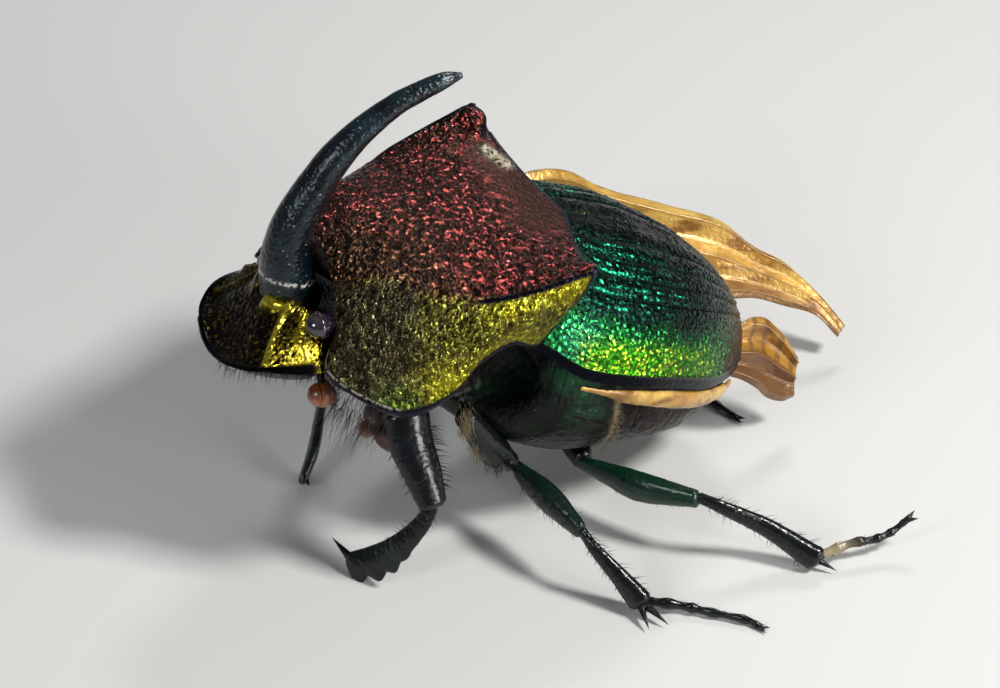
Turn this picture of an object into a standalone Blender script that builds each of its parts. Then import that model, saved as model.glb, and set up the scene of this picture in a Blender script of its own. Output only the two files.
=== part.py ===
"""Rainbow scarab, major male: a life-size display model that stands on its feet.

Metres, +Z up. The head points along -Y and the beetle's left side along +X.
The body is drawn level in its own frame (x to its left, y to its rear, z up)
from the middle of the pronotum's hind margin, and an empty pitches it nose up.
The legs are drawn straight in the floor's frame, whose zero height is the floor.
All lengths in the tables are millimetres; MM turns them into metres.
"""
import math

import bmesh
import bpy
import numpy as np
from mathutils import Matrix, Vector

MM = 0.001
GAP = 0.3

# Stance of the body over the floor
NOSE_UP_DEGREES = 13.4
BACK_HEIGHT = 10.5

# Head plate: its margin (x, y, z) from the rear corner of the cheek to the front middle
HEAD_CENTRE = (0.0, -9.7)
HEAD_MARGIN = [(3.2, -9.55, -4.08), (3.25, -9.9, -4.14), (3.1, -10.5, -4.22), (2.78, -11.06, -4.36),
               (2.3, -11.5, -4.58), (1.65, -11.79, -4.83), (0.83, -11.94, -5.06), (0.0, -11.98, -5.16)]
HEAD_NAPE = [(0.0, -8.8, -4.3), (1.5, -8.85, -4.3), (2.35, -9.05, -4.2), (2.75, -9.4, -4.1)]
HEAD_CROWN = -3.4
HEAD_THROAT = -5.45
EYE_CENTRE = (2.66, -9.55, -2.8)
EYE_RADII = (0.46, 0.46, 0.46)

# Horn: middle line (y, z) and width across, from the brow to the tip
HORN_LINE = [(-9.57, -2.65), (-9.82, -1.95), (-9.93, -1.3), (-9.9, -0.5), (-9.68, 0.3), (-9.34, 1.16),
             (-8.9, 2.12), (-8.17, 3.16), (-7.2, 4.12), (-6.42, 4.63), (-5.67, 5.04), (-5.15, 5.22)]
HORN_WIDTHS = [1.8, 1.75, 1.62, 1.5, 1.4, 1.28, 1.15, 0.95, 0.78, 0.7, 0.6, 0.46]

# Antenna: a short stalk from under the cheek to a lamellate club
ANTENNA_LINE = [(1.95, -9.85, -6.0), (2.5, -9.5, -5.9), (2.95, -9.1, -5.5)]
ANTENNA_CLUB = (3.0, -8.98, -5.25)
ANTENNA_STALK_WIDTH = 0.5
ANTENNA_CLUB_RADII = (0.34, 0.5, 0.42)

# Pronotum stations from front to rear
# Each holds: middle (y, z), disc edge (x, y, z), side margin (x, y, z), breast (y, z)
PRONOTUM_STATIONS = [
    ((-8.75, -1.1), (2.0, -8.9, -1.6), (3.05, -9.02, -3.05), (-8.2, -5.4)),
    ((-8.3, -0.75), (2.5, -8.2, -1.0), (3.6, -9.28, -3.88), (-7.9, -5.9)),
    ((-7.5, -0.45), (2.95, -7.35, -0.65), (4.6, -8.4, -4.27), (-7.4, -6.2)),
    ((-6.3, -0.2), (3.85, -6.25, -0.66), (5.3, -7.0, -4.45), (-6.8, -6.35)),
    ((-5.1, -0.08), (4.6, -5.2, -0.6), (5.5, -5.6, -3.6), (-6.2, -6.4)),
    ((-3.9, 0.0), (5.0, -4.2, -0.25), (5.48, -4.85, -2.3), (-5.6, -6.4)),
    ((-2.6, 0.05), (5.28, -3.1, 0.25), (5.3, -3.8, -1.75), (-5.1, -6.4)),
    ((-1.2, 0.08), (5.38, -2.2, 0.7), (5.05, -2.75, -2.05), (-4.7, -6.3)),
    ((0.0, 0.0), (5.4, -1.48, 0.97), (4.87, -2.1, -1.1), (-4.4, -6.2)),
]
PRONOTUM_ROWS = 19
CORNER_KNOB = (5.12, -1.55, 0.76)
CORNER_KNOB_RADII = (0.42, 0.42, 0.38)
BREAST_SIDE_INSET = 1.0
BREAST_SIDE_LEVEL = 0.55
FRONT_BOWL_SHARE = 0.78
FRONT_BOWL_DEPTH = 0.8
REAR_BOWL_SHARE = 0.65

# Wing cases: the seam (y, z) and the outer rim (x, y, z), shoulder to apex
ELYTRON_SEAM = [(0.35, 0.0), (1.2, -0.18), (2.4, -0.42), (3.6, -0.85), (5.2, -1.55), (6.9, -2.9),
                (7.85, -4.75)]
ELYTRON_RIM = [(4.7, -1.7, -2.9), (5.05, -0.5, -3.55), (5.1, 1.3, -3.85), (4.7, 3.0, -4.2),
               (3.6, 5.3, -5.0), (1.8, 7.3, -5.5), (0.6, 7.85, -5.45)]
ELYTRON_SQUARENESS = 2.35
ELYTRON_THICKNESS = 0.55
ELYTRON_ROWS = 16
STRIA_COUNT = 7
STRIA_DEPTH = 0.12

# Hind wings: pairs of edge points (leading edge, trailing edge) from root to tip
WING_THICKNESS = 0.56
RIGHT_WING = [
    ((-5.95, 0.7, -3.2), (-5.8, 0.8, -4.5)),
    ((-6.1, 1.35, -1.95), (-5.75, 2.0, -4.75)),
    ((-6.3, 3.1, -2.0), (-5.3, 3.4, -4.95)),
    ((-6.2, 4.9, -2.75), (-4.75, 4.9, -5.3)),
    ((-5.6, 7.2, -3.15), (-3.7, 6.6, -5.6)),
    ((-5.0, 9.2, -3.45), (-2.9, 8.7, -5.5)),
    ((-4.3, 10.6, -4.2), (-2.8, 10.3, -5.5)),
    ((-3.7, 11.8, -4.6), (-2.5, 11.6, -5.7)),
    ((-3.0, 12.9, -5.4), (-2.1, 12.6, -5.85)),
    ((-2.1, 13.95, -6.3), (-1.7, 13.5, -6.55)),
]
LEFT_WING = [
    ((4.65, 1.75, -4.75), (4.55, 1.75, -5.4)),
    ((4.55, 3.0, -4.95), (4.4, 3.0, -5.6)),
    ((4.1, 4.2, -5.3), (3.95, 4.2, -5.95)),
    ((3.2, 5.8, -5.9), (3.1, 5.85, -6.5)),
    ((1.9, 7.6, -6.25), (2.2, 7.4, -6.9)),
    ((0.35, 8.6, -5.4), (1.85, 8.3, -6.75)),
    ((0.15, 8.95, -4.75), (1.65, 9.0, -6.9)),
    ((0.7, 9.65, -5.1), (1.5, 9.75, -7.15)),
    ((1.15, 10.15, -5.95), (1.4, 10.25, -6.95)),
]
WING_PLEATS = 2.5
WING_PLEAT_HEIGHT = 0.14
WING_ROWS = 19
WING_COLUMNS = 9
VEIN_COLUMNS = (1, 4, 7)
VEIN_SWELL = 1.35

# Trunk sections: y at the top, y at the bottom, top z, half-width under the wing cases,
# shelf z, half-width below the shelf, bottom z
THORAX_SECTIONS = [
    (-0.3, -3.75, -1.4, 3.3, -3.2, 3.6, -6.7),
    (0.05, -2.4, -1.25, 3.85, -3.8, 4.3, -7.7),
    (0.75, -0.4, -1.3, 4.05, -4.2, 4.7, -8.1),
    (1.3, 1.5, -1.45, 4.0, -4.4, 4.45, -8.15),
]
ABDOMEN_SECTIONS = [
    (1.7, 1.9, -1.55, 3.85, -4.7, 3.85, -8.2),
    (3.2, 3.2, -1.9, 3.7, -5.1, 3.7, -8.3),
    (4.6, 4.6, -2.7, 2.9, -5.6, 3.1, -8.1),
    (5.9, 5.9, -3.9, 1.9, -6.1, 2.3, -7.75),
    (6.7, 6.7, -5.2, 1.0, -6.3, 1.4, -7.3),
]
SHOULDER_CENTRE = (3.7, -3.75, -4.1)
SHOULDER_RADII = (1.55, 2.1, 1.95)
PYGIDIUM_CENTRE = (0.0, 7.25, -6.65)
PYGIDIUM_RADII = (1.2, 0.26, 0.65)

# Legs, in the floor's frame: (x, y, height)
LEG_PATHS = {
    "front_left": {
        "coxa": [(1.85, -7.4, 4.65), (2.85, -7.1, 5.0)],
        "femur": [(3.85, -6.85, 4.95), (4.4, -6.8, 4.4), (4.95, -6.82, 3.8)],
        "tibia": [(5.05, -7.1, 3.05), (4.75, -7.6, 2.15), (4.05, -8.4, 1.0), (3.3, -9.15, 0.4)],
    },
    "front_right": {
        "coxa": [(-1.85, -7.4, 4.65), (-2.85, -7.1, 5.0)],
        "femur": [(-3.85, -6.85, 4.95), (-4.3, -6.8, 4.5), (-4.65, -6.9, 3.95)],
        "tibia": [(-4.3, -7.15, 3.2), (-3.6, -7.6, 2.35), (-2.35, -8.5, 1.05), (-1.75, -9.1, 0.4)],
    },
    "mid_left": {
        "coxa": [(3.35, -4.75, 5.3), (3.2, -3.9, 3.7), (3.25, -3.5, 3.3)],
        "femur": [(3.75, -3.0, 2.8), (5.3, -2.65, 2.7), (6.7, -2.25, 2.45)],
        "tibia": [(7.35, -2.05, 2.15), (8.1, -1.5, 1.4), (8.85, -0.95, 0.6)],
        "tarsus": [(9.26, 0.08, 0.4), (9.5, 0.5, 0.28), (9.95, 1.13, 0.22), (10.77, 2.15, 0.2),
                   (11.2, 2.5, 0.12)],
    },
    "mid_right": {
        "coxa": [(-3.35, -4.75, 5.3), (-3.2, -3.9, 3.7), (-3.25, -3.5, 3.3)],
        "femur": [(-3.75, -2.95, 2.8), (-5.2, -2.5, 2.7), (-6.55, -2.05, 2.45)],
        "tibia": [(-7.1, -1.65, 2.1), (-7.7, -0.95, 1.4), (-8.25, -0.1, 0.6)],
        "tarsus": [(-8.68, 0.95, 0.4), (-8.9, 1.5, 0.26), (-9.3, 2.3, 0.22), (-9.7, 3.1, 0.2),
                   (-9.9, 3.5, 0.12)],
    },
    "hind_left": {
        "coxa": [(0.9, -0.35, 2.0), (2.35, -0.3, 1.95)],
        "femur": [(3.25, -0.4, 1.9), (5.1, 0.65, 2.2), (6.6, 1.95, 2.45)],
        "tibia": [(7.2, 2.6, 2.35), (7.95, 4.25, 1.4), (8.95, 5.45, 0.55)],
        "tarsus": [(9.05, 6.3, 0.65), (9.05, 6.9, 0.75), (9.15, 7.8, 0.75), (9.16, 8.4, 0.9),
                   (9.15, 9.04, 1.3)],
    },
    "hind_right": {
        "coxa": [(-0.9, -0.35, 2.0), (-2.35, -0.3, 1.95)],
        "femur": [(-3.25, -0.35, 1.9), (-4.2, 0.8, 2.15), (-4.85, 1.85, 2.35)],
        "tibia": [(-4.95, 2.65, 2.1), (-4.2, 3.55, 1.3), (-3.15, 4.45, 0.55)],
        "tarsus": [(-2.36, 5.07, 0.4), (-1.9, 5.4, 0.27), (-1.2, 5.85, 0.22), (-0.5, 6.3, 0.2),
                   (0.35, 6.65, 0.13)],
    },
}
COXA_WIDTHS = {"front": [1.1, 1.0], "mid": [0.8, 1.15, 0.9], "hind": [1.0, 0.9]}
FEMUR_WIDTHS = {"front": [1.7, 1.45, 1.0], "mid": [0.85, 1.1, 0.8], "hind": [0.8, 1.1, 0.8]}
TIBIA_WIDTHS = {"front": [0.65, 0.9, 1.2, 1.0], "mid": [0.6, 0.75, 0.95], "hind": [0.55, 0.75, 0.9]}
FEMUR_FLAT = {"front": (0, 1, 0), "mid": (0, 0, 1), "hind": (0, 0, 1)}
LIMB_THINNESS = 0.72
DIGGER_THINNESS = 0.5
TARSUS_WIDTH = 0.5
TARSUS_JOINTS = 5
TOOTH_COUNT = 4
TOOTH_LENGTH = 0.45
TOOTH_RADIUS = 0.24
FIRST_TOOTH = 0.5
TOOTH_SPACING = 0.1625
TOOTH_LEAN = (0.75, 0.1, -0.65)
SPUR_RADIUS = 0.2
SPUR_LENGTH = 0.75
FRONT_SPUR_LEAN = (-0.9, -0.35, 0.55)
REAR_SPUR_LEANS = (-0.45, 0.55)

# Finishes by the first word of a node's name: colour, roughness, metallic
FINISHES = {
    "head": ((0.42, 0.33, 0.03), 0.3, 0.9),
    "horn": ((0.01, 0.022, 0.03), 0.3, 0.2),
    "eye": ((0.02, 0.008, 0.02), 0.1, 0.0),
    "antenna": ((0.42, 0.15, 0.03), 0.4, 0.0),
    "mouthparts": ((0.012, 0.014, 0.017), 0.3, 0.1),
    "pronotum": ((0.38, 0.05, 0.03), 0.35, 0.9),
    "elytron": ((0.02, 0.33, 0.11), 0.3, 0.9),
    "thorax": ((0.015, 0.05, 0.03), 0.35, 0.5),
    "abdomen": ((0.015, 0.05, 0.03), 0.35, 0.5),
    "pygidium": ((0.015, 0.05, 0.03), 0.35, 0.5),
    "hindwing": ((0.5, 0.3, 0.1), 0.35, 0.0),
    "front": ((0.012, 0.014, 0.017), 0.3, 0.1),
    "mid": ((0.012, 0.014, 0.017), 0.3, 0.1),
    "hind": ((0.012, 0.014, 0.017), 0.3, 0.1),
}
SHARP_DEGREES = 35


def clear_scene():
    """Remove whatever the scene holds before the model is built."""
    for item in list(bpy.data.objects):
        bpy.data.objects.remove(item, do_unlink=True)


def smooth(points, count):
    """Resample hand-set stations (points or whole rings) along a Catmull-Rom curve."""
    points = np.asarray(points, float)
    padded = np.concatenate([[2 * points[0] - points[1]], points, [2 * points[-1] - points[-2]]])
    samples = []
    for station in np.linspace(0, len(points) - 1, count):
        index = min(int(station), len(points) - 2)
        t = station - index
        before, start, end, after = padded[index:index + 4]
        bend = 2 * before - 5 * start + 4 * end - after
        twist = 3 * start - before - 3 * end + after
        samples.append(0.5 * (2 * start + (end - before) * t + bend * t ** 2 + twist * t ** 3))
    return np.array(samples)


def new_object(name, work, collection):
    """Turn an edited mesh into an object of its own, faces pointing out."""
    bmesh.ops.recalc_face_normals(work, faces=work.faces)
    mesh = bpy.data.meshes.new(name)
    work.to_mesh(mesh)
    work.free()
    item = bpy.data.objects.new(name, mesh)
    collection.objects.link(item)
    return item


def loft(name, rings, collection):
    """Skin a stack of closed rings, given in millimetres, and close both ends."""
    work = bmesh.new()
    loops = [[work.verts.new(Vector(point) * MM) for point in ring] for ring in rings]
    for lower, upper in zip(loops, loops[1:]):
        for i, corner in enumerate(lower):
            j = (i + 1) % len(lower)
            work.faces.new((corner, lower[j], upper[j], upper[i]))
    for loop in (loops[0], loops[-1]):
        hub = work.verts.new(sum((vert.co for vert in loop), Vector()) / len(loop))
        for i, corner in enumerate(loop):
            work.faces.new((corner, loop[(i + 1) % len(loop)], hub))
    return new_object(name, work, collection)


def ellipsoid(name, centre, radii, collection, segments=14, rings=9):
    """A sphere stretched to three radii."""
    work = bmesh.new()
    place = Matrix.Translation(Vector(centre) * MM) @ Matrix.Diagonal((*(Vector(radii) * MM), 1.0))
    bmesh.ops.create_uvsphere(work, u_segments=segments, v_segments=rings, radius=1.0, matrix=place)
    return new_object(name, work, collection)


def pair_of_eggs(centre, radii, nodes, segments=14, rings=9):
    """The same egg shape on the left and on the right."""
    x, y, z = centre
    return [ellipsoid("egg", (side * x, y, z), radii, nodes, segments, rings) for side in (1, -1)]


def spike(name, root, tip, radius, collection, sides=8):
    """A blunt cone from a buried root to its tip."""
    root, tip = Vector(root), Vector(tip)
    length = (tip - root).length
    turn = (tip - root).to_track_quat("Z", "Y").to_matrix().to_4x4()
    middle = Matrix.Translation((root + tip) / 2 * MM)
    work = bmesh.new()
    bmesh.ops.create_cone(work, cap_ends=True, segments=sides, radius1=radius * MM,
                          radius2=radius * 0.25 * MM, depth=length * MM, matrix=middle @ turn)
    return new_object(name, work, collection)


def limb(name, path, widths, across, collection, thinness=LIMB_THINNESS, sides=10, rows=7):
    """A tapering leg segment of oval section with rounded ends."""
    centres = smooth(path, rows)
    sizes = smooth([[width] for width in widths], rows)[:, 0] / 2
    steps = np.gradient(centres, axis=0)
    steps /= np.linalg.norm(steps, axis=1)[:, None]
    stations = [(centres[0] - steps[0] * sizes[0] * 0.3, steps[0], sizes[0] * 0.6)]
    stations += list(zip(centres, steps, sizes))
    stations.append((centres[-1] + steps[-1] * sizes[-1] * 0.3, steps[-1], sizes[-1] * 0.6))
    rings = []
    for centre, step, size in stations:
        side = np.cross(step, across)
        side /= np.linalg.norm(side)
        flat = np.cross(side, step)
        angles = np.linspace(0, 2 * math.pi, sides, endpoint=False)
        rings.append([centre + side * size * thinness * math.cos(angle) + flat * size * math.sin(angle)
                      for angle in angles])
    return loft(name, rings, collection)


def keep_largest_surface(mesh):
    """Drop every closed surface but the largest one."""
    work = bmesh.new()
    work.from_mesh(mesh)
    work.verts.ensure_lookup_table()
    unseen = set(work.verts)
    surfaces = []
    while unseen:
        stack = [unseen.pop()]
        surface = set(stack)
        while stack:
            for edge in stack.pop().link_edges:
                for vert in edge.verts:
                    if vert in unseen:
                        unseen.discard(vert)
                        surface.add(vert)
                        stack.append(vert)
        surfaces.append(surface)
    largest = max(surfaces, key=len)
    loose = [vert for vert in work.verts if vert not in largest]
    bmesh.ops.delete(work, geom=loose, context="VERTS")
    work.to_mesh(mesh)
    work.free()


def split_into_triangles(item):
    """Cut bent faces into flat triangles, so that a Boolean meets only flat faces."""
    work = bmesh.new()
    work.from_mesh(item.data)
    bmesh.ops.triangulate(work, faces=work.faces)
    work.to_mesh(item.data)
    work.free()


def fuse(name, base, pieces, collection, operation="UNION"):
    """Join closed pieces to a base, or cut them out of it, in one Boolean."""
    for item in [base] + pieces:
        split_into_triangles(item)
    group = bpy.data.collections.new(name + "_pieces")
    bpy.context.scene.collection.children.link(group)
    for piece in pieces:
        for holder in list(piece.users_collection):
            holder.objects.unlink(piece)
        group.objects.link(piece)
    joint = base.modifiers.new("join", "BOOLEAN")
    joint.operation = operation
    joint.operand_type = "COLLECTION"
    joint.collection = group
    joint.solver = "EXACT"
    depsgraph = bpy.context.evaluated_depsgraph_get()
    mesh = bpy.data.meshes.new_from_object(base.evaluated_get(depsgraph))
    for piece in list(group.objects) + [base]:
        bpy.data.objects.remove(piece, do_unlink=True)
    bpy.data.collections.remove(group)
    keep_largest_surface(mesh)
    mesh.name = name
    item = bpy.data.objects.new(name, mesh)
    collection.objects.link(item)
    return item


def grown_copy(item, move, collection):
    """A copy of a closed node, carried into another frame and grown by the gap."""
    work = bmesh.new()
    work.from_mesh(item.data)
    work.transform(move)
    work.normal_update()
    steps = [vert.normal * GAP * MM for vert in work.verts]
    for vert, step in zip(work.verts, steps):
        vert.co += step
    return new_object(item.name + "_room", work, collection)


def make_room(built, name, neighbours, move, collection):
    """Cut a node clear of its neighbours by the gap."""
    cutters = [grown_copy(built[neighbour], move, collection) for neighbour in neighbours]
    built[name] = fuse(name, built[name], cutters, collection, operation="DIFFERENCE")


def cut_at_floor(item):
    """Slice off what is lower than the floor, so that a foot stands on a small flat."""
    work = bmesh.new()
    work.from_mesh(item.data)
    cut = bmesh.ops.bisect_plane(work, geom=work.verts[:] + work.edges[:] + work.faces[:],
                                 dist=MM * 0.0001, plane_co=(0, 0, 0), plane_no=(0, 0, -1),
                                 clear_outer=True)
    rim = [piece for piece in cut["geom_cut"] if isinstance(piece, bmesh.types.BMEdge)]
    if rim:
        bmesh.ops.holes_fill(work, edges=rim)
    bmesh.ops.recalc_face_normals(work, faces=work.faces)
    work.to_mesh(item.data)
    work.free()


def plate(name, outer, inner, collection):
    """A thin curved plate: two grids of points in millimetres, joined along all four edges."""
    work = bmesh.new()
    faces = []
    for grid in (outer, inner):
        faces.append([[work.verts.new(Vector(point) * MM) for point in row] for row in grid])
        for lower, upper in zip(faces[-1], faces[-1][1:]):
            for i in range(len(lower) - 1):
                work.faces.new((lower[i], lower[i + 1], upper[i + 1]))
                work.faces.new((lower[i], upper[i + 1], upper[i]))
    rims = []
    for rows in faces:
        sides = [row[-1] for row in rows[1:-1]], [row[0] for row in rows[1:-1]]
        rims.append(rows[0] + sides[0] + rows[-1][::-1] + sides[1][::-1])
    over, under = rims
    for i, corner in enumerate(over):
        j = (i + 1) % len(over)
        work.faces.new((corner, over[j], under[j]))
        work.faces.new((corner, under[j], under[i]))
    return new_object(name, work, collection)


def head_ring(reach, front, rear):
    """The head's margin drawn in toward its centre and raised toward the crown.

    The rise is a share of the way from margin to crown, at the front and at the
    rear; a negative share goes down toward the throat.
    """
    side = np.vstack([HEAD_NAPE, smooth(HEAD_MARGIN, 12)])
    margin = np.vstack([side, side[1:-1][::-1] * np.array([-1, 1, 1])])
    ring = []
    for x, y, z in margin:
        rearness = float(np.clip((y + 11.2) / 1.6, 0, 1))
        share = front + (rear - front) * rearness
        goal = HEAD_CROWN if share > 0 else HEAD_THROAT
        plan_x = HEAD_CENTRE[0] + (x - HEAD_CENTRE[0]) * reach
        plan_y = HEAD_CENTRE[1] + (y - HEAD_CENTRE[1]) * reach
        ring.append((plan_x, plan_y, z + (goal - z) * abs(share)))
    return ring


def build_head(nodes):
    """Clypeus, cheeks and brow as one shield, with sockets for the eyes."""
    rings = [
        head_ring(0.3, -1.0, -1.0),
        head_ring(0.75, -0.7, -0.8),
        head_ring(0.96, -0.35, -0.3),
        head_ring(1.0, 0.0, 0.0),
        head_ring(0.985, 0.07, 0.3),
        head_ring(0.88, 0.3, 0.85),
        head_ring(0.65, 0.62, 1.0),
        head_ring(0.4, 0.86, 1.0),
        head_ring(0.15, 0.98, 1.0),
    ]
    shield = loft("head", rings, nodes)
    sockets = pair_of_eggs(EYE_CENTRE, [radius + GAP for radius in EYE_RADII], nodes)
    return fuse("head", shield, sockets, nodes, operation="DIFFERENCE")


def build_horn(nodes):
    """The long horn, swept back over the pronotum."""
    path = [(0.0, y, z) for y, z in HORN_LINE]
    return limb("horn", path, HORN_WIDTHS, (1, 0, 0), nodes, thinness=0.95, sides=12, rows=17)


def build_antenna(side, nodes):
    """A stalk and a rounded club of three plates."""
    def place(point):
        return (side * point[0], point[1], point[2])
    name = "antenna_left" if side > 0 else "antenna_right"
    club = ellipsoid(name, place(ANTENNA_CLUB), ANTENNA_CLUB_RADII, nodes)
    stalk = limb("stalk", [place(point) for point in ANTENNA_LINE], [ANTENNA_STALK_WIDTH] * 3,
                 (0, 0, 1), nodes, thinness=1.0, sides=8, rows=4)
    return fuse(name, club, [stalk], nodes)


def build_mouthparts(nodes):
    """Palps and mouth pads under the head."""
    pad = ellipsoid("mouthparts", (0.0, -9.8, -6.05), (1.2, 0.8, 0.3), nodes)
    palps = []
    for side in (1, -1):
        path = [(side * 0.7, -9.6, -6.1), (side * 1.3, -9.0, -6.35), (side * 1.6, -8.6, -6.9)]
        palps.append(limb("palp", path, [0.55, 0.5, 0.6], (0, 0, 1), nodes, thinness=1.0, sides=8))
    return fuse("mouthparts", pad, palps, nodes)


def pronotum_ring(station):
    """One closed section: over the disc, down the flank and under the breast."""
    (mid_y, mid_z), disc, margin, (breast_y, breast_z) = station
    middle = np.array((0.0, mid_y, mid_z))
    disc = np.array(disc)
    margin = np.array(margin)
    half = []
    for u in np.linspace(0, 1, 7):
        point = middle + (disc - middle) * u
        point[2] = mid_z + (disc[2] - mid_z) * u ** 2.2
        half.append(point)
    for u in np.linspace(0.25, 1, 4):
        point = disc + (margin - disc) * u
        point[0] += 0.3 * math.sin(math.pi * u)
        half.append(point)
    fold_z = margin[2] + (breast_z - margin[2]) * BREAST_SIDE_LEVEL
    under = [
        margin + np.array((-0.35, 0.12, -0.22)),
        (margin[0] - BREAST_SIDE_INSET, (margin[1] * 2 + breast_y) / 3, fold_z),
        (margin[0] * 0.52, (margin[1] + breast_y * 2) / 3, breast_z + 0.25),
        (margin[0] * 0.25, breast_y, breast_z + 0.04),
    ]
    half += [np.array(point) for point in under]
    bottom = np.array((0.0, breast_y, breast_z))
    mirrored = [point * np.array((-1, 1, 1)) for point in half[1:][::-1]]
    return np.array(half + [bottom] + mirrored)


def build_pronotum(nodes):
    """The broad, flat-topped shield behind the head, hollowed at both ends.

    Its rear corners end in knobs, and its folds leave room for the middle body.
    """
    rings = list(smooth([pronotum_ring(station) for station in PRONOTUM_STATIONS], PRONOTUM_ROWS))
    front_hub = rings[0].mean(axis=0)
    rear_hub = rings[-1].mean(axis=0)
    front = front_hub + (rings[0] - front_hub) * FRONT_BOWL_SHARE + np.array((0, FRONT_BOWL_DEPTH, 0))
    rear = rear_hub + (rings[-1] - rear_hub) * REAR_BOWL_SHARE
    shield = loft("pronotum", [front] + rings + [rear], nodes)
    shield = fuse("shield", shield, pair_of_eggs(CORNER_KNOB, CORNER_KNOB_RADII, nodes, 12, 8), nodes)
    room = [radius + GAP for radius in SHOULDER_RADII]
    hollows = pair_of_eggs(SHOULDER_CENTRE, room, nodes)
    return fuse("pronotum", shield, hollows, nodes, operation="DIFFERENCE")


def elytron_point(seam, rim, turn):
    """A point on the wing case between the seam (turn 0) and the rim (turn 1)."""
    power = 2 / ELYTRON_SQUARENESS
    angle = turn * math.pi / 2
    across = math.sin(angle) ** power
    down = max(math.cos(angle), 0.0) ** power
    start = GAP / 2
    x = start + (rim[0] - start) * across
    y = seam[0] + (rim[1] - seam[0]) * math.sin(angle) ** 2
    z = rim[2] + (seam[1] - rim[2]) * down
    return np.array((x, y, z))


def moved_inward(line, first, second, distance):
    """Shift a line of points sideways within the plane of two of its coordinates."""
    steps = np.gradient(line, axis=0)
    across = np.zeros_like(line)
    across[:, first] = steps[:, second]
    across[:, second] = -steps[:, first]
    return line + across / np.linalg.norm(across, axis=1)[:, None] * distance


def build_elytron(side, nodes):
    """One wing case with its sunken striae, seven between the seam and the rim."""
    seams = smooth(ELYTRON_SEAM, ELYTRON_ROWS)
    rims = smooth(ELYTRON_RIM, ELYTRON_ROWS)
    turns = [(i + part) / (STRIA_COUNT + 1) for i in range(STRIA_COUNT + 1) for part in (0, 0.3, 0.7)]
    turns.append(1.0)
    inner_seams = moved_inward(seams, 0, 1, ELYTRON_THICKNESS)
    inner_rims = moved_inward(rims, 0, 1, -ELYTRON_THICKNESS)
    outer = np.array([[elytron_point(seam, rim, turn) for turn in turns]
                      for seam, rim in zip(seams, rims)])
    inner = np.array([[elytron_point(seam, rim, turn) for turn in turns]
                      for seam, rim in zip(inner_seams, inner_rims)])
    normals = np.cross(np.gradient(outer, axis=0), np.gradient(outer, axis=1))
    normals /= np.linalg.norm(normals, axis=2)[:, :, None]
    if normals[4, 4, 2] < 0:
        normals = -normals
    fade = np.clip(np.arange(ELYTRON_ROWS) / 2, 0, 1)
    for column in range(3, len(turns) - 1, 3):
        outer[:, column] -= normals[:, column] * (STRIA_DEPTH * fade)[:, None]
    for grid in (outer, inner):
        grid[:, :, 0] = side * np.maximum(grid[:, :, 0], GAP / 2)
    return plate("elytron_left" if side > 0 else "elytron_right", outer, inner, nodes)


def build_hindwing(name, edges, nodes):
    """A pleated wing that pokes out from under its wing case, thicker along its veins."""
    leading = smooth([pair[0] for pair in edges], WING_ROWS)
    trailing = smooth([pair[1] for pair in edges], WING_ROWS)
    across = np.linspace(0, 1, WING_COLUMNS)
    middle = np.array([[start + (end - start) * u for u in across]
                       for start, end in zip(leading, trailing)])
    normals = np.cross(np.gradient(middle, axis=0), np.gradient(middle, axis=1))
    normals /= np.linalg.norm(normals, axis=2)[:, :, None]
    widths = np.linalg.norm(trailing - leading, axis=1)
    pleats = np.sin(across * WING_PLEATS * 2 * math.pi) * WING_PLEAT_HEIGHT
    waves = np.outer(widths / widths.max(), pleats)
    halves = [WING_THICKNESS / 2 * (VEIN_SWELL if i in VEIN_COLUMNS else 1) for i in range(WING_COLUMNS)]
    over = middle + normals * (waves + halves)[:, :, None]
    under = middle + normals * (waves - halves)[:, :, None]
    return plate(name, over, under, nodes)


def trunk_ring(section):
    """A closed trunk section: arched top, a shelf at the wing cases' rim, rounded belly."""
    top_y, bottom_y, top, upper, shelf, lower, bottom = section
    half = []
    for angle in np.linspace(0, math.pi / 2, 7):
        across = math.sin(angle) ** 0.85
        rise = math.cos(angle) ** 0.85 if angle < 1.57 else 0.0
        half.append((upper * across, 0.0, shelf + 0.35 + (top - shelf - 0.35) * rise))
    for angle in np.linspace(0.15, math.pi / 2, 7):
        across = math.cos(angle) ** 0.7 if angle < 1.57 else 0.0
        half.append((lower * across, 0.0, shelf + (bottom - shelf) * math.sin(angle) ** 0.8))
    half = np.array(half)
    half[:, 1] = top_y + (bottom_y - top_y) * np.clip((top - half[:, 2]) / (top - bottom), 0, 1)
    mirrored = half[1:-1][::-1] * np.array((-1, 1, 1))
    return np.vstack([half, mirrored])


def build_trunk(name, sections, rows, nodes):
    """A trunk segment lofted through its sections."""
    return loft(name, list(smooth([trunk_ring(section) for section in sections], rows)), nodes)


def build_thorax(nodes):
    """The middle body, with the swelling that shows on each side behind the shield."""
    trunk = build_trunk("thorax", THORAX_SECTIONS, 8, nodes)
    return fuse("thorax", trunk, pair_of_eggs(SHOULDER_CENTRE, SHOULDER_RADII, nodes), nodes)


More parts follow.
